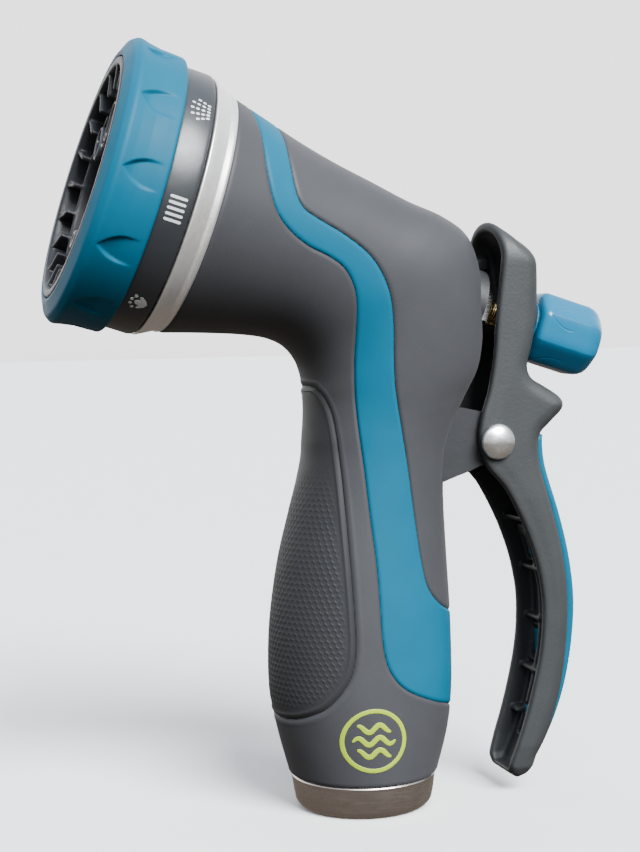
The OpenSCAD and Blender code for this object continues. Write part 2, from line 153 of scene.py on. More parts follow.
def sstep(x): x = np.clip(x, 0, 1); return x * x * (3 - 2 * x)

def nets(F, lo, h):
    """surface nets of a sampled signed distance field"""
    F = F.astype(np.float32); F = np.where(np.abs(F) < 1e-5, 1e-5, F); S = F < 0; nx, ny, nz = F.shape
    cs = [(i, j, k) for i in (0, 1) for j in (0, 1) for k in (0, 1)]
    tot = np.zeros((nx - 1, ny - 1, nz - 1), np.int8)
    for c in cs: tot += S[c[0]:nx - 1 + c[0], c[1]:ny - 1 + c[1], c[2]:nz - 1 + c[2]]
    act = (tot > 0) & (tot < 8); ids = np.argwhere(act); idx = np.full(act.shape, -1, np.int64); idx[act] = np.arange(len(ids))
    I, J, K = ids.T; vals = {c: F[I + c[0], J + c[1], K + c[2]] for c in cs}
    P = np.zeros((len(ids), 3)); n = np.zeros(len(ids))
    for c in cs:
        for ax in range(3):
            if c[ax]: continue
            e = list(c); e[ax] = 1; e = tuple(e); va, vb = vals[c], vals[e]; m = (va < 0) != (vb < 0)
            t = np.where(m, va / np.where(m, va - vb, 1), 0)
            p = np.array(c, float)[None, :].repeat(len(ids), 0); p[:, ax] += t
            P[m] += p[m]; n[m] += 1
    P = (ids + P / n[:, None]) * h + np.asarray(lo)
    Q = []
    for ax in range(3):
        a = [slice(1, -1)] * 3; a[ax] = slice(0, -1); b = list(a); b[ax] = slice(1, None)
        s0 = S[tuple(a)]; s1 = S[tuple(b)]; E = np.argwhere(s0 != s1)
        off = np.array([1, 1, 1]); off[ax] = 0; E = E + off
        u, v = [(1, 2), (2, 0), (0, 1)][ax]
        du = np.zeros(3, int); du[u] = 1; dv = np.zeros(3, int); dv[v] = 1
        q = [idx[tuple((E - x).T)] for x in (du + dv, dv, 0 * du, du)]
        q = np.stack(q, -1); ins = S[tuple(E.T)]; q[~ins] = q[~ins][:, ::-1]; Q.append(q)
    Q = np.concatenate(Q); Q = Q[(Q >= 0).all(1)]
    return P, Q

def relax(V, F, it=2, lam=0.5):
    n = len(V); e = np.concatenate([F[:, [0, 1]], F[:, [1, 2]], F[:, [2, 3]], F[:, [3, 0]]])
    for _ in range(it):
        acc = np.zeros_like(V); cnt = np.zeros(n)
        for a, b in ((0, 1), (1, 0)):
            for k in range(3): acc[:, k] += np.bincount(e[:, a], V[e[:, b], k], n)
            cnt += np.bincount(e[:, a], minlength=n)
        V = V + lam * (acc / np.maximum(cnt, 1)[:, None] - V)
    return V

def axes_grid(lo, hi, h):
    return [np.arange(lo[k], hi[k] + h, h) for k in range(3)]

# ------------------------------------------------------------------ materials
def nt(name):
    m = bpy.data.materials.new(name); m.use_nodes = True; t = m.node_tree; t.nodes.clear()
    o = t.nodes.new("ShaderNodeOutputMaterial"); b = t.nodes.new("ShaderNodeBsdfPrincipled")
    t.links.new(b.outputs[0], o.inputs[0]); return m, t, b

def coords(t):
    return t.nodes.new("ShaderNodeTexCoord").outputs["Object"]

def noise(t, vec, scale, detail=2, rough=0.5, dist=0.0):
    n = t.nodes.new("ShaderNodeTexNoise"); n.inputs["Scale"].default_value = scale; n.inputs["Detail"].default_value = detail
    n.inputs["Roughness"].default_value = rough; n.inputs["Distortion"].default_value = dist
    t.links.new(vec, n.inputs["Vector"]); return n.outputs["Fac"]

def ramp(t, fac, stops):
    r = t.nodes.new("ShaderNodeValToRGB"); t.links.new(fac, r.inputs[0]); e = r.color_ramp.elements
    while len(e) < len(stops): e.new(0.5)
    for k, (p, c) in enumerate(stops):
        e[k].position = p; e[k].color = (c, c, c, 1) if not isinstance(c, (tuple, list)) else (*c, 1)
    return r.outputs[0]

def mathn(t, op, a, b=None, c=None):
    n = t.nodes.new("ShaderNodeMath"); n.operation = op
    for k, v in enumerate((a, b, c)):
        if v is None: continue
        if isinstance(v, (int, float)): n.inputs[k].default_value = v
        else: t.links.new(v, n.inputs[k])
    return n.outputs[0]

def bump(t, h, strength, dist, prev=None):
    b = t.nodes.new("ShaderNodeBump"); b.inputs["Strength"].default_value = strength; b.inputs["Distance"].default_value = dist
    t.links.new(h, b.inputs["Height"])
    if prev is not None: t.links.new(prev, b.inputs["Normal"])
    return b.outputs[0]

def moulded(name, col, var=0.12, rough=(0.5, 0.62), grain=2600, gs=0.25, gd=0.00006, sheen=0.0, coat=0.0, coat_r=0.2, spec=0.5, speck=0.0, blotch=60, metallic=0.0, dust=None):
    m, t, b = nt(name); v = coords(t)
    big = noise(t, v, blotch, 3, 0.55); lo = tuple(c * (1 - var) for c in col); hi = tuple(min(1, c * (1 + var)) for c in col)
    c = ramp(t, big, [(0.3, lo), (0.7, hi)])
    if speck:
        sp = noise(t, v, 1500, 2, 0.6); k = ramp(t, sp, [(0.70, 0.0), (0.80, 1.0)])
        mx = t.nodes.new("ShaderNodeMix"); mx.data_type = "RGBA"; t.links.new(mathn(t, "MULTIPLY", k, speck), mx.inputs[0])
        t.links.new(c, mx.inputs[6]); mx.inputs[7].default_value = (*[min(1, x * 2.2 + 0.05) for x in col], 1); c = mx.outputs[2]
    t.links.new(c, b.inputs["Base Color"])
    r = noise(t, v, blotch * 3.1, 4, 0.6); t.links.new(ramp(t, r, [(0.25, rough[0]), (0.75, rough[1])]), b.inputs["Roughness"])
    g = noise(t, v, grain, 2, 0.55); n1 = bump(t, g, gs, gd); g2 = noise(t, v, grain * 0.28, 3, 0.6)
    t.links.new(bump(t, g2, gs * 0.5, gd * 1.5, n1), b.inputs["Normal"])
    b.inputs["Sheen Weight"].default_value = sheen; b.inputs["Sheen Roughness"].default_value = 0.5
    b.inputs["Coat Weight"].default_value = coat; b.inputs["Coat Roughness"].default_value = coat_r
    b.inputs["Specular IOR Level"].default_value = spec; b.inputs["Metallic"].default_value = metallic
    return m

def metal(name, col, rough=(0.22, 0.34), scr=900, stretch=(1, 1, 14), gs=0.12, grain=1800, var=0.08, metallic=1.0, coat=0.0):
    m, t, b = nt(name); v = coords(t)
    mp = t.nodes.new("ShaderNodeMapping"); mp.inputs["Scale"].default_value = stretch; t.links.new(v, mp.inputs["Vector"])
    s = noise(t, mp.outputs[0], scr, 3, 0.6)
    lo = tuple(c * (1 - var) for c in col); hi = tuple(min(1, c * (1 + var)) for c in col)
    t.links.new(ramp(t, noise(t, v, 90, 3), [(0.3, lo), (0.7, hi)]), b.inputs["Base Color"])
    t.links.new(ramp(t, s, [(0.3, rough[0]), (0.7, rough[1])]), b.inputs["Roughness"])
    n1 = bump(t, s, gs, 0.00004); t.links.new(bump(t, noise(t, v, grain, 2), gs * 0.7, 0.00003, n1), b.inputs["Normal"])
    b.inputs["Metallic"].default_value = metallic; b.inputs["Coat Weight"].default_value = coat; b.inputs["Coat Roughness"].default_value = 0.25
    return m

M = {}
M["skin"] = moulded("soft_charcoal", (0.029, 0.0295, 0.033), 0.07, (0.50, 0.60), 2200, 0.30, 0.00007, sheen=0.03, spec=0.24, speck=0.25)
M["pad"] = moulded("soft_charcoal_pad", (0.0165, 0.017, 0.019), 0.07, (0.48, 0.58), 2200, 0.25, 0.00006, sheen=0.02, spec=0.22, speck=0.2)
M["blue"] = moulded("soft_teal", (0.000, 0.074, 0.130), 0.05, (0.46, 0.56), 2400, 0.22, 0.00005, sheen=0.0, spec=0.11)
M["core"] = moulded("nylon_charcoal", (0.016, 0.017, 0.019), 0.10, (0.42, 0.55), 1500, 0.35, 0.00008, spec=0.3, speck=0.1)
M["lever"] = moulded("nylon_grey", (0.024, 0.026, 0.027), 0.07, (0.46, 0.58), 1300, 0.45, 0.00010, spec=0.28, speck=0.3)
M["dial"] = moulded("dial_plastic", (0.016, 0.0175, 0.021), 0.10, (0.38, 0.52), 1500, 0.3, 0.00007, spec=0.32)
M["tip"] = moulded("tip_plastic", (0.034, 0.036, 0.041), 0.10, (0.25, 0.38), 1500, 0.2, 0.00005, spec=0.55)
M["selector"] = moulded("selector_plastic", (0.017, 0.019, 0.022), 0.08, (0.30, 0.40), 1400, 0.3, 0.00005, spec=0.5, speck=0.15)
M["knob"] = moulded("knob_blue", (0.000, 0.095, 0.185), 0.04, (0.20, 0.28), 900, 0.10, 0.00004, coat=0.25, coat_r=0.12, spec=0.35)
M["white"] = moulded("print_white", (0.44, 0.45, 0.46), 0.04, (0.45, 0.55), 2600, 0.2, 0.00003)
M["lime"] = moulded("print_lime", (0.25, 0.34, 0.006), 0.05, (0.45, 0.55), 2600, 0.2, 0.00003)
M["rubber"] = moulded("seal_rubber", (0.012, 0.012, 0.013), 0.1, (0.55, 0.7), 1500, 0.3, 0.00008)
M["silver"] = metal("satin_silver", (0.86, 0.85, 0.83), (0.34, 0.44), 700, (1, 1, 1), 0.10, 2400, 0.04, metallic=0.85, coat=0.25)
M["collar"] = metal("collar_metal", (0.55, 0.50, 0.47), (0.24, 0.36), 260, (1, 1, 16), 0.12, 1800, 0.06)
M["brass"] = metal("brass", (0.70, 0.50, 0.22), (0.2, 0.32), 600, (1, 1, 6), 0.10)
M["nickel"] = metal("nickel", (0.62, 0.62, 0.61), (0.2, 0.3), 600, (1, 1, 4), 0.10)
M["steel"] = metal("spring_steel", (0.55, 0.55, 0.56), (0.22, 0.34), 800, (1, 1, 4), 0.10)
M["rivet"] = metal("rivet_steel", (0.9, 0.9, 0.9), (0.20, 0.33), 300, (1, 1, 2), 0.2, 1100, 0.07)
M["acetal"] = moulded("acetal_blue", (0.0, 0.11, 0.22), 0.05, (0.3, 0.4), 1500, 0.2, 0.00004)

# ------------------------------------------------------------------ body surface
RIBS = np.array([
  [-48.8,117.9,-30.9,173.4,29.4,2.0],[-40.7,117.7,-24.0,169.1,27.2,2.0],[-30.8,117.2,-15.3,163.6,24.6,2.05],
  [-23.8,116.3,-6.4,158.6,22.8,2.1],[-19.3,114.7,3.2,153.9,21.4,2.15],[-16.6,112.6,12.7,149.2,20.4,2.2],
  [-14.8,110.0,22.0,145.3,19.6,2.25],[-13.8,107.3,28.4,140.3,18.9,2.3],[-13.3,104.5,31.6,131.0,18.2,2.3],
  [-13.2,101.5,32.3,120.0,17.5,2.3],[-13.2,98.5,31.1,109.0,16.8,2.25],[-13.4,95.0,27.5,101.4,16.2,2.2],
  [-13.8,91.0,24.3,95.0,15.8,2.15],[-14.2,86.5,22.2,88.0,15.6,2.1],[-15.6,80.0,21.4,80.0,15.6,2.1],
  [-17.8,72.0,21.5,72.0,15.9,2.1],[-20.6,61.0,22.0,61.0,16.7,2.1],[-22.6,48.5,22.6,48.5,17.6,2.1],
  [-23.3,38.0,22.8,38.0,18.2,2.1],[-23.0,28.0,22.6,28.0,18.6,2.1],[-21.2,18.5,21.4,18.5,18.7,2.05],
  [-18.4,8.0,18.4,8.0,18.4,2.0]], float)
LAST = len(RIBS) - 1
STRIPE = [
  [-28.4,178],[-27.4,166],[-27.8,157],[-27.3,150],[-25.8,144.5],[-22.5,140.3],[-18,137],[-13,134.7],[-9.2,132.2],
  [-6.8,128.5],[-5.6,124],[-5.3,117],[-5.3,110.5],[-5,103],[-4.2,94],[-3.1,84.5],[-2,72.5],[-1,62.5],[-0.5,53],
  [-0.2,44],[0.8,37.8],[3.1,33.5],[6.6,30.5],[12.3,27.8],[18.6,25.4],[32,21],[32,44],[24,46.8],[19.4,48.8],[15.6,51.5],[12.7,55.6],
  [11,63],[9.7,72],[8,84],[6.3,93.5],[4.6,103],[4,110.5],[3.8,117.5],[3,124.5],[0.8,130.4],[-2.9,135.4],
  [-8.9,139.8],[-16,143.7],[-19.2,146],[-20.8,150],[-21.2,157],[-20.9,163],[-20.6,178]]
PAD = [
  [-32,104.6],[-16,104.4],[-13,104.1],[-12,103.3],[-10.8,101],[-9.7,97.5],[-9,92.6],[-8.3,84.3],[-7.9,77],[-7.5,68],[-7.1,58],
  [-6.8,49],[-6.8,42],[-7.5,37],[-8.9,33.4],[-11.3,30],[-14.1,27.2],[-17.4,25.3],[-21,23.8],[-32,21]]

def rib(t):
    t = np.asarray(t, float); i = np.clip(np.floor(t).astype(int), 0, LAST - 1); f = (t - i)[..., None]
    Q = np.vstack([2 * RIBS[0] - RIBS[1], RIBS, 2 * RIBS[-1] - RIBS[-2]])
    a, b, c, d = Q[i], Q[i + 1], Q[i + 2], Q[i + 3]
    return 0.5 * (2 * b + (c - a) * f + (2 * a - 5 * b + 4 * c - d) * f * f + (3 * b - a - 3 * c + d) * f ** 3)

def surf(t, phi, d=0.0):
    t, phi = np.broadcast_arrays(np.asarray(t, float), np.asarray(phi, float)); r = rib(t)
    A = r[..., 0:2]; B = r[..., 2:4]; C = (A + B) / 2; h = (B - A) / 2; L = np.linalg.norm(h, axis=-1)
    h = h * ((L - d) / L)[..., None]; w = r[..., 4] - d; p = 2 / r[..., 5]
    c = np.cos(phi); s = np.sin(phi); cc = np.sign(c) * np.abs(c) ** p; ss = np.sign(s) * np.abs(s) ** p
    P = C + h * cc[..., None]
    return np.stack([P[..., 0], w * ss, P[..., 1]], -1)

def t_samples(step, t0=0.0, t1=float(LAST)):
    """parameter values a fixed distance apart along the longer side line"""
    t = np.linspace(t0, t1, 4001); r = rib(t)
    dA = np.linalg.norm(np.diff(r[:, 0:2], axis=0), axis=1); dB = np.linalg.norm(np.diff(r[:, 2:4], axis=0), axis=1)
    L = np.concatenate([[0], np.cumsum(np.maximum(dA, dB))]); n = int(L[-1] / step) + 1
    return np.interp(np.linspace(0, L[-1], n), L, t)

def phi_samples(n, p0, p1):
    return np.linspace(p0, p1, n)

def clip(V, T, f, data):
    """keeps the part of triangle mesh (V, T) where f > 0; data: list of per-vertex arrays"""
    s = f[T] > 0; k = s.sum(1); keep = T[k == 3]; E = {}; nV = [V]; nD = [[d] for d in data]; base = len(V)
    out = [keep]; one = T[k == 1]; two = T[k == 2]; so = s[k == 1]; st = s[k == 2]
    r1 = np.argmax(so, 1); one = np.stack([one[np.arange(len(one)), (r1 + q) % 3] for q in range(3)], -1) if len(one) else one
    r2 = np.argmin(st, 1); two = np.stack([two[np.arange(len(two)), (r2 + q) % 3] for q in range(3)], -1) if len(two) else two
    pairs = np.concatenate([one[:, [0, 1]], one[:, [0, 2]], two[:, [0, 1]], two[:, [0, 2]]])
    key = np.sort(pairs, 1); u, inv = np.unique(key, axis=0, return_inverse=True); inv = inv.ravel()
    fa, fb = f[u[:, 0]], f[u[:, 1]]; w = fa / (fa - fb); w = np.clip(w, 0, 1)
    nv = V[u[:, 0]] + (V[u[:, 1]] - V[u[:, 0]]) * w[:, None]
    nd = [d[u[:, 0]] + (d[u[:, 1]] - d[u[:, 0]]) * (w[:, None] if d.ndim > 1 else w) for d in data]
    a = base + inv[:len(one)]; b = base + inv[len(one):2 * len(one)]
    c = base + inv[2 * len(one):2 * len(one) + len(two)]; d = base + inv[2 * len(one) + len(two):]
    out.append(np.stack([one[:, 0], a, b], -1)); out.append(np.stack([c, two[:, 1], two[:, 2]], -1)); out.append(np.stack([c, two[:, 2], d], -1))
    V2 = np.vstack([V, nv]); D2 = [np.concatenate([x, y]) for x, y in zip(data, nd)]; T2 = np.concatenate(out)
    used = np.unique(T2); m = np.full(len(V2), -1); m[used] = np.arange(len(used))
    return V2[used], m[T2], [x[used] for x in D2]

def rim(V, T, N, depth):
    """adds a wall inward along -N from every open edge"""
    e = np.concatenate([T[:, [0, 1]], T[:, [1, 2]], T[:, [2, 0]]]); k = e[:, 0].astype(np.int64) * len(V) + e[:, 1]; kr = e[:, 1].astype(np.int64) * len(V) + e[:, 0]
    op = e[~np.isin(k, kr)]; u = np.unique(op); m = np.full(len(V), -1); m[u] = len(V) + np.arange(len(u))
    V2 = np.vstack([V, V[u] - N[u] * depth]); q = np.stack([op[:, 1], op[:, 0], m[op[:, 0]], m[op[:, 1]]], -1)
    return V2, q

def body_patch(step, nphi, t0, t1, p0, p1, wrap):
    t = t_samples(step, t0, t1); ph = np.linspace(p0, p1, nphi, endpoint=not wrap)
    Tt, Pp = np.meshgrid(t, ph, indexing="ij"); V = surf(Tt, Pp)
    # normals
    dt = np.gradient(V, axis=0)
    dp = (np.roll(V, -1, 1) - np.roll(V, 1, 1)) if wrap else np.gradient(V, axis=1)
    N = np.cross(dt, dp); N /= np.linalg.norm(N, axis=-1, keepdims=True) + 1e-12
    s = np.sign(np.sum(N[..., 1] * V[..., 1])); N = N * s
    sg = float(s)
    def field(poly):
        f = sd_poly(cat_curve(poly, 6, False), V[..., 0], V[..., 2])
        ft = np.gradient(f, axis=0); fp = (np.roll(f, -1, 1) - np.roll(f, 1, 1)) / 2 if wrap else np.gradient(f, axis=1)
        a = dt / 1.0; b = dp / (2.0 if wrap else 1.0)
        E = np.sum(a * a, -1); G = np.sum(b * b, -1); Fm = np.sum(a * b, -1); D = np.maximum(E * G - Fm * Fm, 1e-9)
        g = np.sqrt(np.maximum((ft * ft * G - 2 * ft * fp * Fm + fp * fp * E) / D, 1e-6))
        return f / np.clip(g, 0.25, 2.0)
    F = grid_faces(len(t), nphi, wrap, False)
    T3 = np.concatenate([F[:, [0, 1, 2]], F[:, [0, 2, 3]]])
    # orientation outward
    a, b, c = (V.reshape(-1, 3)[T3[:, k]] for k in range(3)); nn = np.cross(b - a, c - a)
    if np.sum(np.sum(nn * N.reshape(-1, 3)[T3[:, 0]], 1)) < 0: T3 = T3[:, ::-1]
    return V, N, T3, field, Tt, Pp

def groove(d, w, g): return -g * np.clip(1 - np.abs(d) / w, 0, 1) ** 1.6

V, N, T3, field, Tt, Pp = body_patch(0.42, 380, 0.0, float(LAST), 0.0, 2 * np.pi, True)
fs = field(STRIPE); fp = field(PAD)
# distance from the gland opening at the rear
def rear_hole(V):
    bs = -V[..., 0] * CA + (V[..., 2] - H0) * SA; br = V[..., 0] * SA + (V[..., 2] - H0) * CA
    return np.where(bs < -20, np.hypot(br, V[..., 1]) - 9.45, 50.0), bs
fh, _ = rear_hole(V)
flat = [V.reshape(-1, 3), N.reshape(-1, 3), fs.ravel(), fp.ravel(), fh.ravel(), Tt.ravel()]
def piece(name, sel, mat, rep, depth):
    Vc, Tc = flat[0], T3; D = [flat[1], flat[2], flat[3], flat[4], flat[5]]
    for which, sign in sel:
        Vc, Tc, D = clip(Vc, Tc, D[which] * sign, D)
    n_, gs, gp, gh, tt = D; n_ = n_ / np.linalg.norm(n_, axis=1, keepdims=True); _, bs = rear_hole(Vc)
    disp = groove(gs, 0.72, 0.40) + groove(gp, 0.85, 0.45) + 0.10 * np.clip(1 - np.abs(gp - 1.3) / 0.8, 0, 1) ** 2
    # rolled ends of the skin, at the front ring and above the collar, and at the gland opening
    disp -= 0.45 * np.clip(1 - (Vc[:, 2] - 8.0) / 0.9, 0, 1) ** 2 * (tt > 15)
    disp -= 0.30 * np.clip(1 - (41.8 - bs) / 0.7, 0, 1) ** 2 * (tt < 3)
    disp -= 0.5 * np.clip(1 - gh / 1.0, 0, 1) ** 2
    V2, q = rim(Vc + n_ * disp[:, None], Tc, n_, depth)
    return mesh_object(name, V2, [Tc, q], mat, "body", rep)
skin = piece("grip_skin_fine", [(1, 1), (2, 1), (3, 1)], M["skin"], ("grip_skin",), 2.2)
stripe = piece("stripe_fine", [(1, -1)], M["blue"], ("stripe_inlay",), 1.1)

# palm pad with its small hexagon texture, on a finer grid
V, N, T3, field, Tt, Pp = body_patch(0.24, 300, 7.8, 19.9, math.radians(92), math.radians(268), False)
fp = field(PAD)
arc = np.concatenate([np.zeros((V.shape[0], 1)), np.cumsum(np.linalg.norm(np.diff(V, axis=1), axis=-1), 1)], 1); arc -= arc[:, arc.shape[1] // 2][:, None]
u = arc / 1.55; v = V[..., 2] / 1.55
def hexd(u, v):
    best = None
    for ou, ov in ((0, 0), (0.5, math.sqrt(3) / 2)):
        a = (u - ou) - np.round(u - ou); b = (v - ov) / math.sqrt(3); b = (b - np.round(b)) * math.sqrt(3)
        a = np.abs(a); b = np.abs(b); d = np.maximum(a, a * 0.5 + b * math.sqrt(3) / 2)
        best = d if best is None else np.minimum(best, d)
    return best
hx = hexd(u, v)
cell = sstep((hx - 0.34) / 0.12)
fade = sstep((-fp - 1.6) / 2.5) * sstep((88 - V[..., 2]) / 14) * sstep((V[..., 2] - 24) / 5)
tex = 0.11 * cell * fade
flat = [V.reshape(-1, 3), N.reshape(-1, 3), fp.ravel(), tex.ravel()]
Vc, Tc, D = clip(flat[0], T3, -flat[2], flat[1:])
n_ = D[0] / np.linalg.norm(D[0], axis=1, keepdims=True); gp = D[1]
disp = groove(gp, 0.85, 0.45) + 0.20 * np.clip(1 - np.abs(-gp - 1.25) / 0.9, 0, 1) ** 2 + D[2]
V2, q = rim(Vc + n_ * disp[:, None], Tc, n_, 1.1)
pad = mesh_object("palm_pad_fine", V2, [Tc, q], M["pad"], "body", ("palm_pad",))

# ------------------------------------------------------------------ badge: a generic ring with three waves
def body_y(x, z):
    """near-side Y of the lower handle's surface at (x, z)"""
    lo = np.full(np.shape(z), 12.0); hi = np.full(np.shape(z), float(LAST))
    for _ in range(30):
        m = (lo + hi) / 2; up = rib(m)[..., 1] > z; lo = np.where(up, m, lo); hi = np.where(up, hi, m)
    r = rib((lo + hi) / 2); c = (r[..., 0] + r[..., 2]) / 2; h = (r[..., 2] - r[..., 0]) / 2
    q = np.clip(np.abs((x - c) / h), 0, 0.9999); return -r[..., 4] * (1 - q ** r[..., 5]) ** (1 / r[..., 5])
def decal(name, path, width, closed, mat, lift=0.05):
    P = np.asarray(path, float); d = np.gradient(P, axis=0)
    if closed: d = np.roll(P, -1, 0) - np.roll(P, 1, 0)
    n = np.stack([-d[:, 1], d[:, 0]], -1); n /= np.linalg.norm(n, axis=1, keepdims=True)
    w = np.broadcast_to(width, (len(P),)); rows = []
    for k, (a, l) in enumerate(((-0.5, -0.15), (-0.5, lift * 0.6), (-0.38, lift), (0, lift), (0.38, lift), (0.5, lift * 0.6), (0.5, -0.15))):
        Q = P + n * (a * w)[:, None]; y = body_y(Q[:, 0], Q[:, 1]); rows.append(np.stack([Q[:, 0], y - l, Q[:, 1]], -1))
    G = np.stack(rows, 1); m = G.shape[1]
    i = np.arange(len(P) if closed else len(P) - 1)[:, None]; j = np.arange(m - 1)[None]; i2 = (i + 1) % len(P)
    F = np.stack([i * m + j, i2 * m + j, i2 * m + j + 1, i * m + j + 1], -1).reshape(-1, 4)
    caps = [] if closed else [[k for k in range(m)], [(len(P) - 1) * m + k for k in range(m - 1, -1, -1)]]
    Vv = G.reshape(-1, 3); a, b, c = Vv[F[:, 0]], Vv[F[:, 1]], Vv[F[:, 2]]
    if np.cross(b - a, c - a)[:, 1].sum() > 0: F = F[:, ::-1]
    return mesh_object(name, Vv, F, mat, "body", ())
bc = np.array([-2.9, 19.6]); a = np.linspace(0, 2 * np.pi, 160, endpoint=False)
decal("badge_ring", np.stack([bc[0] + 7.55 * np.cos(a), bc[1] + 7.25 * np.sin(a)], -1), 1.05, True, M["lime"])
for k, (zz, ww) in enumerate(((3.0, 4.1), (0.0, 5.2), (-3.0, 4.1))):
    x = np.linspace(-ww, ww, 60); taper = 1.25 * np.sqrt(np.clip(1 - (np.abs(x) / (ww + 0.15)) ** 4, 0.03, 1))
    decal("badge_wave_%d" % k, np.stack([bc[0] + x, bc[1] + zz + 0.85 * np.sin(x * 2 * np.pi / 5.2)], -1), taper, False, M["lime"])

# ------------------------------------------------------------------ dial
DENTS = 12
def bezel_warp(r, s, a):
    outer = r > 31.5
    for k in range(DENTS):
        # angle is measured from straight up towards +Y; one dent faces the near side
        c = math.radians(-90 + 1.0 + 30 * k)
        d = (a - c + np.pi) % (2 * np.pi) - np.pi; w = d * 34.3; q = 66.3 - s
        hw = 3.4 * (1 - (1 - np.clip(q, 0, 6.6) / 6.6) ** 2) + 0.02 * np.clip(q, 0, 20)
        inside = (hw - np.abs(w)) * 0.72; fadeb = 1 - sstep((q - 3.0) / 7.0)
        dep = (0.24 + 0.62 * np.clip(q / 2.6, 0, 1)) * sstep(inside / 0.5) * fadeb * (inside > 0) * (q > 0)
        r = np.where(outer, r - dep, r)
    return r, s
prof = round_profile([(28.95, 55.55, 0.1), (33.6, 55.55, 0.9), (33.75, 58.5), (33.8, 61.5), (34.25, 64.5), (34.8, 66.9, 1.6), (33.6, 68.55, 2.0), (30.4, 69.95, 0.9), (29.55, 69.7, 0.25), (29.5, 68.2, 0.1), (28.95, 68.2, 0.1)], 8)
revolve("bezel_fine", prof, 900, M["blue"], "dial", ("dial_bezel",), warp=bezel_warp, step=0.32)
prof = round_profile([(26.8, 48.45, 0.1), (31.75, 48.42, 0.35), (31.95, 49.4), (31.9, 54.9), (31.75, 55.5, 0.2), (26.8, 55.5, 0.1)], 5)
revolve("selector_fine", prof, 288, M["selector"], "dial", ("selector_ring",))
prof = round_profile([(27.25, 41.98, 0.2), (29.15, 41.98, 0.25), (29.5, 42.5, 0.3), (29.6, 43.15, 0.15), (29.28, 43.4, 0.12), (29.32, 43.6, 0.1), (29.75, 43.95, 0.3), (31.2, 46.6, 3), (31.75, 47.75, 0.3), (31.35, 47.98, 0.15), (28.2, 48.0, 0.2), (27.25, 47.6, 0.2)], 4)
revolve("trim_ring_fine", prof, 288, M["silver"], "body", ("trim_ring",))

# white pictograms on the selector ring, drawn as thin raised prints
def on_ring(pts):
    """(along the ring mm, along the barrel mm), centred on (angle, s)"""
    return pts
def icon_strip(path, width, ang0, s0, caps=True):
    P = np.asarray(path, float); d = np.gradient(P, axis=0) if len(P) > 1 else np.array([[1, 0]])
    n = np.stack([-d[:, 1], d[:, 0]], -1); n /= np.linalg.norm(n, axis=1, keepdims=True) + 1e-9
    L = P + n * width / 2; R = P - n * width / 2; cap1 = []; cap0 = []
    u = d[-1] / np.linalg.norm(d[-1]); w = d[0] / np.linalg.norm(d[0])
    for k in range(1, 6):
        t = np.pi * k / 6; cap1.append(P[-1] + width / 2 * (n[-1] * math.cos(t) + u * math.sin(t)))
        cap0.append(P[0] + width / 2 * (-n[0] * math.cos(t) - w * math.sin(t)))
    return np.vstack([L, cap1, R[::-1], cap0])
icon_V, icon_F, icon_n = [], [], 0
def add_shape(poly, ang0, s0):
    """poly in mm: x to the right round the ring as seen, y towards the front"""
    global icon_n
    poly = np.asarray(poly, float); R = 31.97; m = len(poly)
    c = poly.mean(0); P = np.vstack([poly, c])
    for rr in (R, R - 0.12):
        a = ang0 - P[:, 0] / R; s = s0 + P[:, 1]
        icon_V.append(barrel(np.stack([rr * np.cos(a), rr * np.sin(a), s], -1)))
    F3 = [[icon_n + k, icon_n + (k + 1) % m, icon_n + m] for k in range(m)]
    F3 += [[icon_n + m + 1 + (k + 1) % m, icon_n + m + 1 + k, icon_n + 2 * m + 1] for k in range(m)]
    F3 += [[icon_n + (k + 1) % m, icon_n + k, icon_n + m + 1 + k] for k in range(m)] + [[icon_n + (k + 1) % m, icon_n + m + 1 + k, icon_n + m + 1 + (k + 1) % m] for k in range(m)]
    icon_F.extend(F3); icon_n += 2 * m + 2
def dot(x, y, r, n=14): return [(x + r * math.cos(2 * math.pi * k / n), y + r * math.sin(2 * math.pi * k / n)) for k in range(n)]
def line(x0, y0, x1, y1, w): return icon_strip([(x0, y0), ((x0 + x1) / 2, (y0 + y1) / 2), (x1, y1)], w, 0, 0)
def arc_line(x, y, r, a0, a1, w, n=12): return icon_strip([(x + r * math.cos(a0 + (a1 - a0) * k / n), y + r * math.sin(a0 + (a1 - a0) * k / n)) for k in range(n + 1)], w, 0, 0)
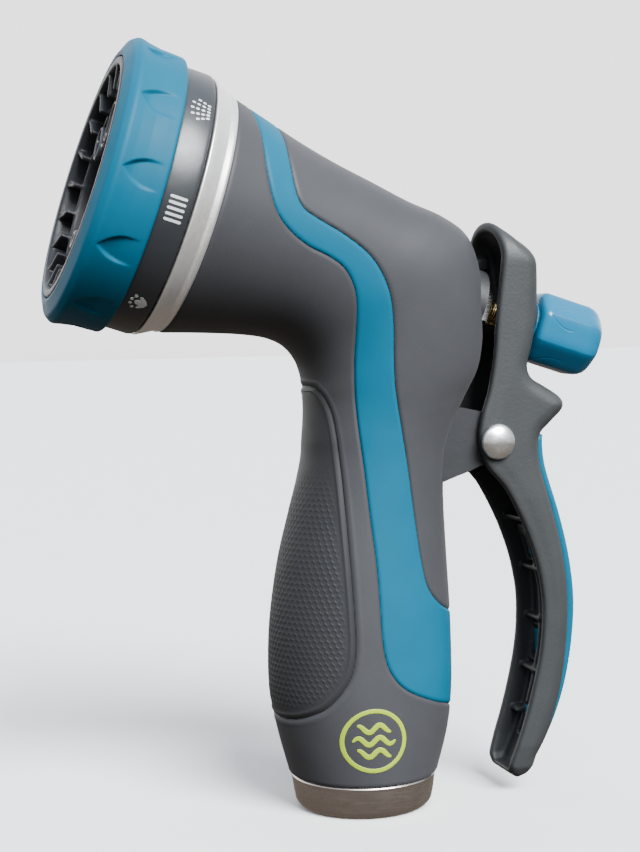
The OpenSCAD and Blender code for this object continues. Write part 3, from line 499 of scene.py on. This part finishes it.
def icon(kind, ang):
    S = []
    if kind == "shower":
        for i in range(4):
            for j in range(-2, 3):
                if i == 3 and abs(j) == 2: continue
                x0, y0 = j * (1.02 + 0.24 * i), -2.05 + i * 1.28 - abs(j) * 0.08 * i
                S.append([(x0 + 0.33 * math.cos(t_) + 0.10 * j * math.sin(t_) * 0.5, y0 + 0.44 * math.sin(t_)) for t_ in np.linspace(0, 2 * math.pi, 14, endpoint=False)])
    elif kind == "flat":
        for k in range(5): S.append(line(-2.6 + k * 1.3 - 0.0, -1.7, -2.6 + k * 1.3 - 0.0, 1.7, 0.62))
    elif kind == "soaker":
        for x, y, r in ((-1.9, 1.1, 0.42), (-0.65, 1.75, 0.42), (0.75, 1.75, 0.42), (1.95, 1.0, 0.42)): S.append(dot(x, y, r))
        S.append(icon_strip([(-1.7, -0.2), (-0.8, -1.3), (0, -1.7), (0.9, -1.3), (1.7, -0.2)], 0.7, 0, 0)); S.append(dot(0, 0.2, 0.75))
    elif kind == "jet":
        S.append(line(0, -2.2, 0, 2.2, 0.8))
    elif kind == "cone":
        S.append(arc_line(0, 0, 1.9, 0, 2 * math.pi * 0.985, 0.5, 30))
    elif kind == "mist":
        for i in range(5):
            for j in range(5): S.append(dot((j - 2) * 1.0 + (0.5 if i % 2 else 0) - 0.25, (i - 2) * 0.9, 0.2))
    elif kind == "angle":
        for k in range(3): S.append(line(-1.9 + k * 1.6, -1.8, -0.9 + k * 1.6 - 0.2, 1.8, 0.6))
    elif kind == "full":
        S.append(dot(0, 0, 1.7, 28))
    for p in S:
        p = np.asarray(p, float)
        if area(p) < 0: p = p[::-1]
        add_shape(p, ang, 51.9)
kinds = ["shower", "flat", "soaker", "jet", "cone", "mist", "angle", "full"]
# near side is angle -90 (towards -Y); icons step downwards round the ring
for k, kind in enumerate(kinds):
    icon(kind, math.radians(-90 + 37 - 45 * k))
mesh_object("pictograms", np.vstack(icon_V), np.array(icon_F), M["white"], "dial", (), smooth=False)

# face: grille with radial ribs, sunk into the bezel
def barrel_nets(name, fun, lo, hi, h, mat, body, rep, slot, it=1):
    X, Y, Z = axes_grid(lo, hi, h); G = fun(X[:, None, None], Y[None, :, None], Z[None, None, :])
    G = np.broadcast_to(G, (len(X), len(Y), len(Z)))
    P, Q = nets(G, (X[0], Y[0], Z[0]), h)
    P = relax(P, Q, it, 0.4)
    Vv = barrel(P); a, b, c = P[Q[:, 0]], P[Q[:, 1]], P[Q[:, 2]]
    return mesh_object(name, Vv, Q, mat, body, rep)
def face_sdf(x, y, z):
    R = np.hypot(x, y); A = np.arctan2(y, x)
    outer = smax(np.abs(R - 28.0) - 0.85, np.abs(z - 62.4) - 6.9, 0.6)
    lip = smax(np.abs(R - 28.35) - 1.05, np.abs(z - 69.2) - 0.75, 0.7)
    inner = smax(np.abs(R - 22.4) - 0.7, np.abs(z - 63.3) - 3.2, 0.4)
    n = 20; q = (A * n / (2 * np.pi) + 0.08) % 1.0; q = np.minimum(q, 1 - q) * 2 * np.pi / n; dist = R * np.sin(q)
    ribs = smax(smax(np.abs(dist) - 0.62, np.abs(R - 25) - 3.2, 0.3), np.abs(z - 64.1) - 5.0 - 0.12 * (R - 25), 0.3)
    disc = smax(R - 22.3, np.abs(z - 61) - 1.0, 0.4)
    q = (A * 8 / (2 * np.pi) + 0.5) % 1.0 - 0.5; ax = R * np.cos(q * 2 * np.pi / 8) - 14.5; ay = R * np.sin(q * 2 * np.pi / 8); ro = np.hypot(ax, ay)
    coll = smax(ro - 5.9, np.abs(z - 62.6) - 0.85, 0.5)
    body = smin(smin(outer, ribs, 0.3), inner, 0.3); body = smin(body, smin(disc, coll, 0.5), 0.6); body = np.minimum(body, lip)
    hole = np.where(z > 61.9, ro - 4.0, ro - 4.0)
    body = smax(body, -hole, 0.3); return smax(body, -(R - 8.5), 0.3)
barrel_nets("face_fine", face_sdf, (-29.6, -29.6, 54.8), (29.6, 29.6, 70.2), 0.36, M["dial"], "dial", ("face_plate",), "dial_plastic")

def at_out(k, x, y):
    a = 2 * math.pi * k / 8; c, s = math.cos(a), math.sin(a)
    return x * c + y * s - 14.5, -x * s + y * c
def tower_sdf(k, turn):
    def f(x, y, z):
        u, v = at_out(k, x, y)
        cap = np.hypot(np.maximum(np.abs(u) - 2.2, 0), v) - 3.0 + 0.03 * (z - 63.4)
        t = smax(cap, np.abs(z - 65.6) - 2.15, 1.3); base = smax(np.hypot(u, v) - 3.93, np.abs(z - 61.8) - 1.8, 0.3)
        rim_ = smax(-(cap + 0.75), -(np.abs(z - 67.9) - 0.5), 0.4)
        d = smin(t, base, 0.4); d = smax(d, rim_, 0.3)
        a, b = (u, v) if turn else (v, u)
        slot = np.maximum(np.maximum(np.abs(a) - 0.42, np.abs(b) - 2.1), 64.5 - z)
        return smax(d, -slot, 0.2)
    return f
def span(k, r=6.4):
    a = 2 * math.pi * k / 8; c = (14.5 * math.cos(a), 14.5 * math.sin(a))
    return (c[0] - r, c[1] - r, 59.4), (c[0] + r, c[1] + r, 69.4)
barrel_nets("flat_tip_fine", tower_sdf(0, False), *span(0), 0.22, M["tip"], "dial", ("flat_tip",), "tip_plastic")
barrel_nets("fan_tip_fine", tower_sdf(1, True), *span(1), 0.22, M["tip"], "dial", ("fan_tip",), "tip_plastic")
def jet_sdf(x, y, z):
    u, v = at_out(4, x, y); r = np.hypot(u, v)
    cone = smax(r - (3.5 - 0.28 * (z - 63.2)), np.abs(z - 65.3) - 2.6, 0.5); base = smax(r - 3.93, np.abs(z - 61.8) - 1.8, 0.3)
    q = np.arctan2(v, u); fins = smax(smax(np.abs(np.sin(q * 3)) * r - 0.5, r - 3.7, 0.3), np.abs(z - 64.6) - 1.5, 0.3)
    return smax(smin(smin(cone, base, 0.4), fins, 0.3), -(r - 1.25), 0.25)
barrel_nets("jet_tip_fine", jet_sdf, *span(4, 5), 0.2, M["tip"], "dial", ("jet_tip",), "tip_plastic")
def cone_sdf(x, y, z):
    u, v = at_out(5, x, y); r = np.hypot(u, v); q = np.arctan2(v, u)
    ring = smax(np.abs(r - 3.4) - 0.52, np.abs(z - 63) - 3.0, 0.3); pin = smax(r - 1.35 - 0.1 * (z - 63), np.abs(z - 63.4) - 3.4, 0.5)
    sp = smax(smax(np.abs(np.sin(q * 1.5)) * r * 0.66 - 0.3, r - 3.3, 0.2), np.abs(z - 61) - 1.0, 0.2)
    return smin(smin(ring, pin, 0.1), sp, 0.2)
barrel_nets("cone_tip_fine", cone_sdf, *span(5, 5), 0.2, M["tip"], "dial", ("cone_tip",), "tip_plastic")
def mist_sdf(x, y, z):
    u, v = at_out(6, x, y); r = np.hypot(u, v); q = np.arctan2(v, u)
    base = smax(r - 3.93, np.abs(z - 62) - 2.0, 0.3); cap = smax(r - 5.3, np.abs(z - 64.35) - 0.85, 0.6); d = smin(base, cap, 0.2)
    h = (q * 6 / (2 * np.pi) + 0.5) % 1 - 0.5; hole = np.hypot(r * np.cos(h * 2 * np.pi / 6) - 3.4, r * np.sin(h * 2 * np.pi / 6)) - 0.45
    return smax(smax(d, -hole, 0.15), -(r - 0.5), 0.15)
barrel_nets("mist_tip_fine", mist_sdf, *span(6, 6), 0.2, M["tip"], "dial", ("mist_tip",), "tip_plastic")
def hub_sdf(x, y, z):
    r = np.hypot(x, y); q = np.arctan2(y, x)
    base = smax(r - 8.42, np.abs(z - 61) - 1.0, 0.4); boss = smax(r - 5.5 - 0.45 * np.cos(q * 12), np.abs(z - 63.4) - 2.0, 0.7)
    d = smin(base, boss, 0.5); d = smax(d, -smax(r - 3.4, -(z - 64.2), 0.3), 0.3); return smax(d, -(r - 2.0), 0.2)
barrel_nets("hub_cap_fine", hub_sdf, (-9, -9, 59.4), (9, 9, 66.4), 0.24, M["tip"], "dial", ("hub_cap",), "dial_plastic")

# ------------------------------------------------------------------ trigger
TR_FRONT = [[34.7,146.4],[34.9,143.5],[35.1,141],[35.3,138.3],[35.3,135.5],[34.6,129.5],[33.6,120],[32.7,110],[31.2,102],[29.3,96],[28.5,91],[29.2,86.4],
  [31,82.6],[35,78],[38.4,72],[41.4,65.3],[43.8,58],[45.3,50],[45.5,43],[44.7,35],[43,27],[40.8,19],[38.3,11.5],[36.9,7.2],[37.1,4.8]]
TR_BACK = [[39.2,3.2],[42.4,5],[44.5,8.6],[47,13.5],[49,18.5],[50.6,24],[51.8,30],[52.6,37],[53,44],[52.9,51],[52,58.5],[50.4,66],
  [48.4,73],[46.4,79.6],[45.2,85],[45.4,90.4],[48.4,93.6],[51.3,96.4],[51.9,98.4],[50.6,100.4],[46.5,103],[43.4,105],
  [42.3,108],[43.5,112.5],[44.6,118],[45.1,125],[45.1,131],[44.8,134.4],[43,137.4],[39.4,140.9],[37.2,143.1],[36,146.2]]
INS_BACK = [[44.2,7.8],[46.6,11.6],[48.9,16.2],[51.2,22],[52.9,28],[54.2,35],[54.9,42],[54.9,49],[54,56.5],[52.5,64],[50.4,71.6],[48,79],[46.7,84],[46.3,88.0],[46.4,90.8]]
def arch(g):
    w = 10.8 - g; A = np.radians(np.arange(0, 181, 6))
    return [(w * math.cos(a), 133.4 + w * math.sin(a)) for a in A] + [(-w, 75), (-w + 0.9, 45), (-w + 1.8, 12), (-w + 2.6, 6.4 + g), (-w + 4.8, 3 + g), (w - 4.8, 3 + g), (w - 2.6, 6.4 + g), (w - 1.8, 12), (w - 0.9, 45), (w, 75)]
fr = cat_curve(TR_FRONT, 4); bk = cat_curve(TR_BACK, 4)
h = 0.36
X, Y, Z = axes_grid((26.5, -12.2, 1.6), (56.0, 12.2, 146.8), h)
XX, ZZ = np.meshgrid(X, Z, indexing="ij"); YY, ZY = np.meshgrid(Y, Z, indexing="ij")
side = sd_poly(np.vstack([fr, bk]), XX, ZZ); frontv = sd_poly(arch(0), YY, ZY)
inner_side = sd_poly(np.vstack([fr - [30, 0], np.array([[b[0] - 3.0, b[1]] for b in bk])]), XX, ZZ)
pocket = sd_poly([[20, 60], [20, 152], [34.4, 143.4], [38.2, 138.6], [41, 134.4], [41.6, 128], [41.5, 118], [40.4, 110], [39.4, 106], [42, 101.6], [44.4, 98.4], [42.8, 95.4], [42.2, 90], [42.3, 84], [41, 78], [42, 72], [40, 60]], XX, ZZ)
S3 = side[:, None, :]; Fv = frontv[None, :, :]; x = X[:, None, None]; y = Y[None, :, None]; z = Z[None, None, :]
# generous rounding on the back, small on the front edges
frd = sd_poly(np.vstack([fr, [[80, 0], [80, 160]]]), XX, ZZ)[:, None, :]
near_front = np.clip(1 - (-frd) / 5.0, 0, 1)
outer = smax(S3, Fv, 4.6) * (1 - near_front) + smax(S3, Fv, 1.5) * near_front
inner = smax(smax(inner_side[:, None, :], Fv + 2.6, 1.2), -(z - 0), 0.1)
pock = smax(pocket[:, None, :], Fv + 2.6, 0.8)
spine = np.maximum(np.maximum(np.abs(y) - 0.8, frd * -1 * 0 + (-(frd) * 0 + 0)), 0)
spine = smax(np.abs(y) - 0.7, np.maximum(-frd * 0 + sd_poly(np.vstack([[[46, 76]], [[p[0] + 2.8, p[1]] for p in TR_FRONT if 12 < p[1] < 72], [[44, 10], [60, 10], [60, 76]]]), XX, ZZ)[:, None, :], -50), 0.4)
cross = None
for zc in (68.7, 55.7, 42.7, 29.7, 18.7):
    c = smax(np.abs(z - zc) - 0.6, -(frd + 2.0) * -1 * 0 + (2.0 + frd) * 0 + np.maximum(sd_poly([[30, zc - 4], [60, zc - 4], [60, zc + 4], [30, zc + 4]], XX, ZZ)[:, None, :], frd + 2.2), 0.4)
    cross = c if cross is None else np.minimum(cross, c)
cav = inner
cav = smax(cav, -spine, 0.5); cav = smax(cav, -cross, 0.5)
cav = np.minimum(cav, pock)
body_t = smax(outer, -cav, 0.7)
# pad behind the washer, stem slot, windows, pivot pin hole
sx, sz = 39.66, 120.1
padc = smax(smax(np.hypot(x - sx, z - sz) - 6.0, np.abs(y) - 7.0, 1.0), 41.0 - x, 0.3); body_t = smin(body_t, padc, 0.8)
boss = smax(np.hypot(x - 32.8, z - 89.5) - 5.4, np.abs(np.abs(y) - 10.6) - 0.32, 0.25); body_t = smin(body_t, smax(boss, -(4.0 - np.abs(y)) * 0 - 1e3, 0.1) if False else body_t, 0.1)
s_ = -x * CA + (z - H0) * SA; r_ = x * SA + (z - H0) * CA
slot = np.maximum(np.hypot(np.maximum(np.abs(r_ - 0.9) - 0.9, 0), y) - 3.5, np.abs(s_ + 46) - 6); body_t = smax(body_t, -slot, 0.4)
CLIPS = [(49, 62, 3.6), (50.4, 44, -3.6), (50.4, 36, 3.6), (46, 17, 0)]
for cx, cz, cy in CLIPS:
    fr_ = smax(smax(np.abs(y - cy) - 3.0, np.abs(z - cz) - 4.9, 0.5), np.maximum(frd + 3.6, -(x - cx + 4)), 0.4)
    body_t = smin(body_t, smax(fr_, S3 + 0.3, 0.3), 0.4)
    w_ = np.maximum(np.maximum(np.abs(y - cy) - 2.2, np.abs(z - cz) - 4.0), np.abs(x - cx - 3) - 6.0); body_t = smax(body_t, -w_, 0.3)
notch = sd_poly([[28, 138], [35.4, 137], [36.6, 132.5], [38.3, 127], [38.8, 122.5], [37.4, 119.2], [34, 117], [28, 116]], XX, ZZ)[:, None, :]
body_t = smax(body_t, -smax(notch, 5.5 - y, 0.6), 0.5)
blk = smax(smax(np.abs(x - 38.2) - 1.3, np.abs(z - 133.6) - 1.45, 0.4), np.abs(y - 7.6) - 1.2, 0.3); body_t = smin(body_t, blk, 0.3)
pin = np.hypot(x - 32.8, z - 89.5) - 2.1; body_t = smax(body_t, -pin, 0.2)
P, Q = nets(body_t, (X[0], Y[0], Z[0]), h); P = relax(P, Q, 2, 0.45)
P[:, 0] += sstep((P[:, 2] - 117) / 16) * (-0.75 - 0.10 * P[:, 1])
mesh_object("lever_fine", P, Q, M["lever"], "trigger", ("trigger_lever",))
# insert on the back
ins = cat_curve(INS_BACK, 4); bk2 = np.array([b for b in bk[::-1] if 6 < b[1] < 91])
lo_side = sd_poly(np.vstack([ins, bk2 - [1.3, 0]]), XX, ZZ)[:, None, :]
insd = smax(lo_side, Fv + 2.1 + 0.6 * sstep((60 - z) / 25), 1.8)
bite = smax(S3 + 0.02, Fv + 2.9, 0.3)
tabs = None
for cx, cz, cy in CLIPS:
    c = smax(smax(np.abs(y - cy) - 1.9, np.abs(z - cz) - 3.4, 0.5), np.abs(x - cx - 0.9) - 2.3, 0.6); tabs = c if tabs is None else np.minimum(tabs, c)
tabs = smax(tabs, sd_poly(np.vstack([ins, [[20, 91], [20, 7]]]), XX, ZZ)[:, None, :] + 0.7, 0.3)
G = np.minimum(insd, tabs)
P, Q = nets(G, (X[0], Y[0], Z[0]), h); P = relax(P, Q, 1, 0.4)
mesh_object("lever_insert_fine", P, Q, M["blue"], "trigger", ("trigger_insert",))

# ------------------------------------------------------------------ rivet, knob, collar, inlet
def y_rev(name, prof, n, mat, body, cx, cz, rep, slot, sgn):
    P = round_profile(prof, 6) if len(prof[0]) > 2 or any(len(p) > 2 for p in prof) else np.asarray(prof, float)
    A = 2 * np.pi * np.arange(n) / n
    V = np.stack([cx + P[:, None, 0] * np.cos(A), sgn * P[:, None, 1] * np.ones(n), cz + P[:, None, 0] * np.sin(A)], -1).reshape(-1, 3)
    F = grid_faces(len(P), n, True, False); a, b, c = V[F[:, 0]], V[F[:, 1]], V[F[:, 2]]
    cen = np.array([cx, 0, cz]); nn = np.cross(b - a, c - a); vol = np.einsum("ij,ij->", a - cen, nn)
    if vol < 0: F = F[:, ::-1]
    return V, F
dome = [(4.4 * math.cos(t), 11.45 + 1.95 * math.sin(t)) for t in np.linspace(0, math.pi / 2 * 0.98, 16)]
pr = np.array([(0.001, 0.0), (2.0, 0.0), (2.0, 11.1), (4.15, 11.1), (4.35, 11.2)] + dome + [(0.001, 13.4)])
V1, F1 = y_rev("", pr, 96, None, None, 32.8, 89.5, (), None, -1); V2, F2 = y_rev("", pr, 96, None, None, 32.8, 89.5, (), None, 1)
mesh_object("rivet_fine", np.vstack([V1, V2]), np.vstack([F1, F2 + len(V1)]), M["rivet"], "body", ("pivot_pin",))

# knob: rounded octagon with an engraved petal on every second corner
def knob_r(a):
    q = (a / (2 * np.pi) * 8 + 0.5) % 1 - 0.5; q = q * 2 * np.pi / 8
    flat_r = 8.95 / np.cos(q); return smin(flat_r, 9.5 + 0 * flat_r, 0.5)
prof = []
for s_, k_ in ((-66.5, 0.0), (-66.5, 3.9), (-66.38, 5.4), (-66.1, 6.6), (-65.6, 7.6), (-64.9, 8.35), (-64.0, 8.95), (-63.0, 9.3), (-61.8, 9.5)): prof.append((k_, s_))
for s_ in np.linspace(-61.4, -50.3, 70): prof.append((9.5, s_))
for s_, k_ in ((-49.9, 9.45), (-49.4, 9.25), (-48.95, 8.9), (-48.6, 8.4), (-48.4, 7.8), (-48.3, 7.1), (-48.3, 6.4), (-48.3, 6.2), (-48.3, 6.0), (-48.3, 5.0), (-50, 4.99), (-64.4, 4.99), (-64.5, 4.9), (-64.5, 0.0)): prof.append((k_, s_))
prof = np.array(prof); n = 640; A = 2 * np.pi * np.arange(n) / n
r = prof[:, 0][:, None] * np.ones(n); s = prof[:, 1][:, None] * np.ones(n); a = np.ones(len(prof))[:, None] * A
sc = np.clip((r - 5.0) / 3.9, 0, 1); shape = knob_r(a) / 9.5; r = r * (1 + (shape - 1) * sc * (r > 5.0))
q = ((a / (2 * np.pi) * 8) % 1 - 0.5) * 2 * np.pi / 8 * 9.2; v = -49.9 - s
hw = 2.9 * (1 - (1 - np.clip(v, 0, 6.0) / 6.0) ** 2); slope = np.clip(2 * 2.9 / 6 * (1 - np.clip(v, 0, 6) / 6), 0, 1); edge = np.abs(np.abs(q) - hw) / np.sqrt(1 + slope ** 2)
on = (v > -0.1) & (r > 8) & (np.floor(a / (2 * np.pi) * 8).astype(int) % 2 == 0); r = r - 0.10 * np.clip(1 - edge / 0.22, 0, 1) * on * (1 - sstep((v - 5.5) / 3.0))
V = barrel(np.stack([r * np.cos(a), r * np.sin(a), s], -1).reshape(-1, 3)); F = grid_faces(len(prof), n, True, False)
a0, b0, c0 = V[F[:, 0]], V[F[:, 1]], V[F[:, 2]]; cen = barrel(np.array([0, 0, -58.0]))
if np.einsum("ij,ij->", a0 - cen, np.cross(b0 - a0, c0 - a0)) < 0: F = F[:, ::-1]
mesh_object("knob_fine", V, F, M["knob"], "knob", ("flow_knob",))

prof = round_profile([(14.65, 0.02, 0.1), (15.6, 0.02, 0.5), (16.9, 1.2, 1.8), (17.45, 4.0, 3), (17.85, 7.0, 1.0), (17.98, 7.6, 0.15), (17.7, 7.98, 0.15), (14.65, 7.98, 0.1)], 6)
revolve("collar_fine", prof, 256, M["collar"], "body", ("base_collar",), local=(0, 0, 0))

# threaded insert: helical grooves cut outwards from the minor radius
zs = np.concatenate([[0.0, 0.3], np.arange(0.6, 14.9, 0.12), [15.0]]); n = 192; A = 2 * np.pi * np.arange(n) / n
ph = ((zs[:, None] / 2.209) - A[None] / (2 * np.pi)) % 1.0; tri = np.clip(1.15 - np.abs(ph - 0.5) * 4.0, 0, 1)
end = sstep((zs - 0.8) / 1.5)[:, None] * sstep((14.7 - zs) / 1.0)[:, None]; r = 12.45 + 1.05 * tri * end
r[0] = 13.2; r[1] = 12.9
rows = [np.stack([rr * np.cos(A), rr * np.sin(A), np.full(n, z_)], -1) for rr, z_ in ((15.9, 17.4), (15.9, 8.1), (14.5, 8.1), (14.5, 0.0))]
for k, z_ in enumerate(zs): rows.append(np.stack([r[k] * np.cos(A), r[k] * np.sin(A), np.full(n, z_)], -1))
for rr, z_ in ((12.9, 15.02), (12.9, 17.4)): rows.append(np.stack([rr * np.cos(A), rr * np.sin(A), np.full(n, z_)], -1))
V = np.concatenate(rows); F = grid_faces(len(rows), n, True, True)
c = V[F].mean(1); nn = np.cross(V[F[:, 1]] - V[F[:, 0]], V[F[:, 2]] - V[F[:, 0]]); outer_ = np.hypot(c[:, 0], c[:, 1]) > 15.7
if (nn[outer_, :2] * c[outer_, :2]).sum() < 0: F = F[:, ::-1]
mesh_object("insert_fine", V, F, M["brass"], "body", ("hose_insert",))

# valve stem with its rear thread
ss = np.concatenate([[12.2, 12.2, 11.8], np.linspace(11.0, -33.5, 12), np.arange(-34, -62.0, -0.14), [-62.2, -62.5, -62.5]]); n = 96; A = 2 * np.pi * np.arange(n) / n
ph = (ss[:, None] / 1.25 + A[None] / (2 * np.pi)) % 1.0; tri = np.abs(ph - 0.5) * 2
thr = ((ss < -36) & (ss > -62))[:, None]; r = np.where(thr, 2.98 - 0.42 * np.clip(tri * 1.25 - 0.1, 0, 1), 2.98)
r[0] = 0.001; r[1] = 2.6; r[-2] = 2.4; r[-1] = 0.001
V = barrel(np.stack([r * np.cos(A), r * np.sin(A), ss[:, None] * np.ones(n)], -1).reshape(-1, 3)); F = grid_faces(len(ss), n, True, False)
cen = barrel(np.array([0, 0, -20.0])); a0, b0, c0 = V[F[:, 0]], V[F[:, 1]], V[F[:, 2]]
if np.einsum("ij,ij->", a0 - cen, np.cross(b0 - a0, c0 - a0)) < 0: F = F[:, ::-1]
mesh_object("stem_fine", V, F, M["brass"], "valve", ("valve_stem",))

# ------------------------------------------------------------------ CAD nodes that stay, with their materials
stay = {"body_core": "core", "hose_washer": "rubber", "valve_seat": "brass", "gland_plug": "core", "gland_nut": "nickel", "stem_seal": "rubber",
        "return_spring": "steel", "outlet_seal": "rubber", "outlet_spring": "steel", "detent_spring": "steel", "dial_screw": "steel", "screw_washer": "steel",
        "spray_manifold": "dial", "valve_plunger": "brass", "plunger_seal": "rubber", "plunger_nut": "brass", "knob_washer": "acetal", "knob_insert": "brass", "detent_ball": "steel"}
for n_, m_ in stay.items():
    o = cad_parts[n_]
    for sl in o.material_slots: sl.material = M[m_]

# ------------------------------------------------------------------ camera, floor, light
psi, phi, roll = math.radians(-16.4), math.radians(3.5), math.radians(-1.0914)
T = np.array([-9.544, 0.0, 94.261]); D = 405.08
B = np.array([math.sin(psi) * math.cos(phi), -math.cos(psi) * math.cos(phi), math.sin(phi)]); R = np.array([math.cos(psi), math.sin(psi), 0.0]); U = np.cross(B, R)
R2 = R * math.cos(roll) + U * math.sin(roll); U2 = -R * math.sin(roll) + U * math.cos(roll)
from mathutils import Matrix
cam = bpy.data.cameras.new("camera"); co = bpy.data.objects.new("camera", cam); COLL.objects.link(co)
loc = (T + B * D) * 0.001
co.matrix_world = Matrix(((R2[0], U2[0], B[0], loc[0]), (R2[1], U2[1], B[1], loc[1]), (R2[2], U2[2], B[2], loc[2]), (0, 0, 0, 1)))
cam.sensor_width = 36; cam.sensor_fit = "AUTO"; cam.lens = 36 * 1650 / 852; cam.clip_start = 0.01; cam.clip_end = 50
bpy.context.scene.camera = co

m, t, b = nt("floor_paper"); v = coords(t)
t.links.new(ramp(t, noise(t, v, 40, 3), [(0.3, 0.66), (0.7, 0.68)]), b.inputs["Base Color"]); t.links.new(ramp(t, noise(t, v, 120, 3), [(0.3, 0.75), (0.7, 0.85)]), b.inputs["Roughness"])
me = bpy.data.meshes.new("floor"); me.from_pydata([(-6, -6, -0.0003), (6, -6, -0.0003), (6, 6, -0.0003), (-6, 6, -0.0003)], [], [(0, 1, 2, 3)]); me.materials.append(m)
fl = bpy.data.objects.new("floor", me); COLL.objects.link(fl); fl.visible_diffuse = False; fl.visible_glossy = False

w = bpy.data.worlds.new("studio"); w.use_nodes = True; bpy.context.scene.world = w
wt = w.node_tree; bg = wt.nodes["Background"]
wc = wt.nodes.new("ShaderNodeTexCoord"); sx_ = wt.nodes.new("ShaderNodeSeparateXYZ"); wt.links.new(wc.outputs["Generated"], sx_.inputs[0])
# bright behind the object and overhead, dimmer behind the camera, dark and a little warm below
back_ = ramp(wt, mathn(wt, "MULTIPLY_ADD", sx_.outputs[1], 0.5, 0.5), [(0.52, (0.25, 0.255, 0.265)), (0.80, (1.0, 1.0, 1.0))])
def mixw(f, a_, b_):
    n_ = wt.nodes.new("ShaderNodeMix"); n_.data_type = "RGBA"; wt.links.new(f, n_.inputs[0])
    for k_, v_ in ((6, a_), (7, b_)):
        if isinstance(v_, tuple): n_.inputs[k_].default_value = v_
        else: wt.links.new(v_, n_.inputs[k_])
    return n_.outputs[2]
up_ = mixw(ramp(wt, sx_.outputs[2], [(0.25, 0.0), (0.9, 1.0)]), back_, (0.46, 0.51, 0.58, 1))
z_ = mathn(wt, "MULTIPLY_ADD", sx_.outputs[2], 0.5, 0.5)
wt.links.new(mixw(ramp(wt, z_, [(0.42, 0.0), (0.495, 1.0)]), (0.085, 0.074, 0.064, 1), up_), bg.inputs[0]); bg.inputs[1].default_value = 2.45
from mathutils import Vector
def sun(name, to_light, power, angle, col=(1, 1, 1)):
    l = bpy.data.lights.new(name, "SUN"); l.energy = power; l.angle = math.radians(angle); l.color = col
    o = bpy.data.objects.new(name, l); COLL.objects.link(o); o.location = (0, 0, 1)
    o.rotation_euler = (-Vector(to_light)).to_track_quat("-Z", "Y").to_euler(); return o
sun("key", (0.24, -0.72, 0.66), 14.0, 34, (0.955, 0.985, 1.0))
def light(name, pos, target, size, power, col=(1, 1, 1)):
    l = bpy.data.lights.new(name, "AREA"); l.shape = "RECTANGLE"; l.size, l.size_y = size; l.energy = power; l.color = col
    o = bpy.data.objects.new(name, l); COLL.objects.link(o); o.location = pos
    o.rotation_euler = (Vector(target) - Vector(pos)).to_track_quat("-Z", "Y").to_euler(); return o
light("strip", (-0.15, -0.45, 0.62), (-0.03, 0, 0.13), (0.35, 0.12), 1.6, (0.9, 0.96, 1.0))
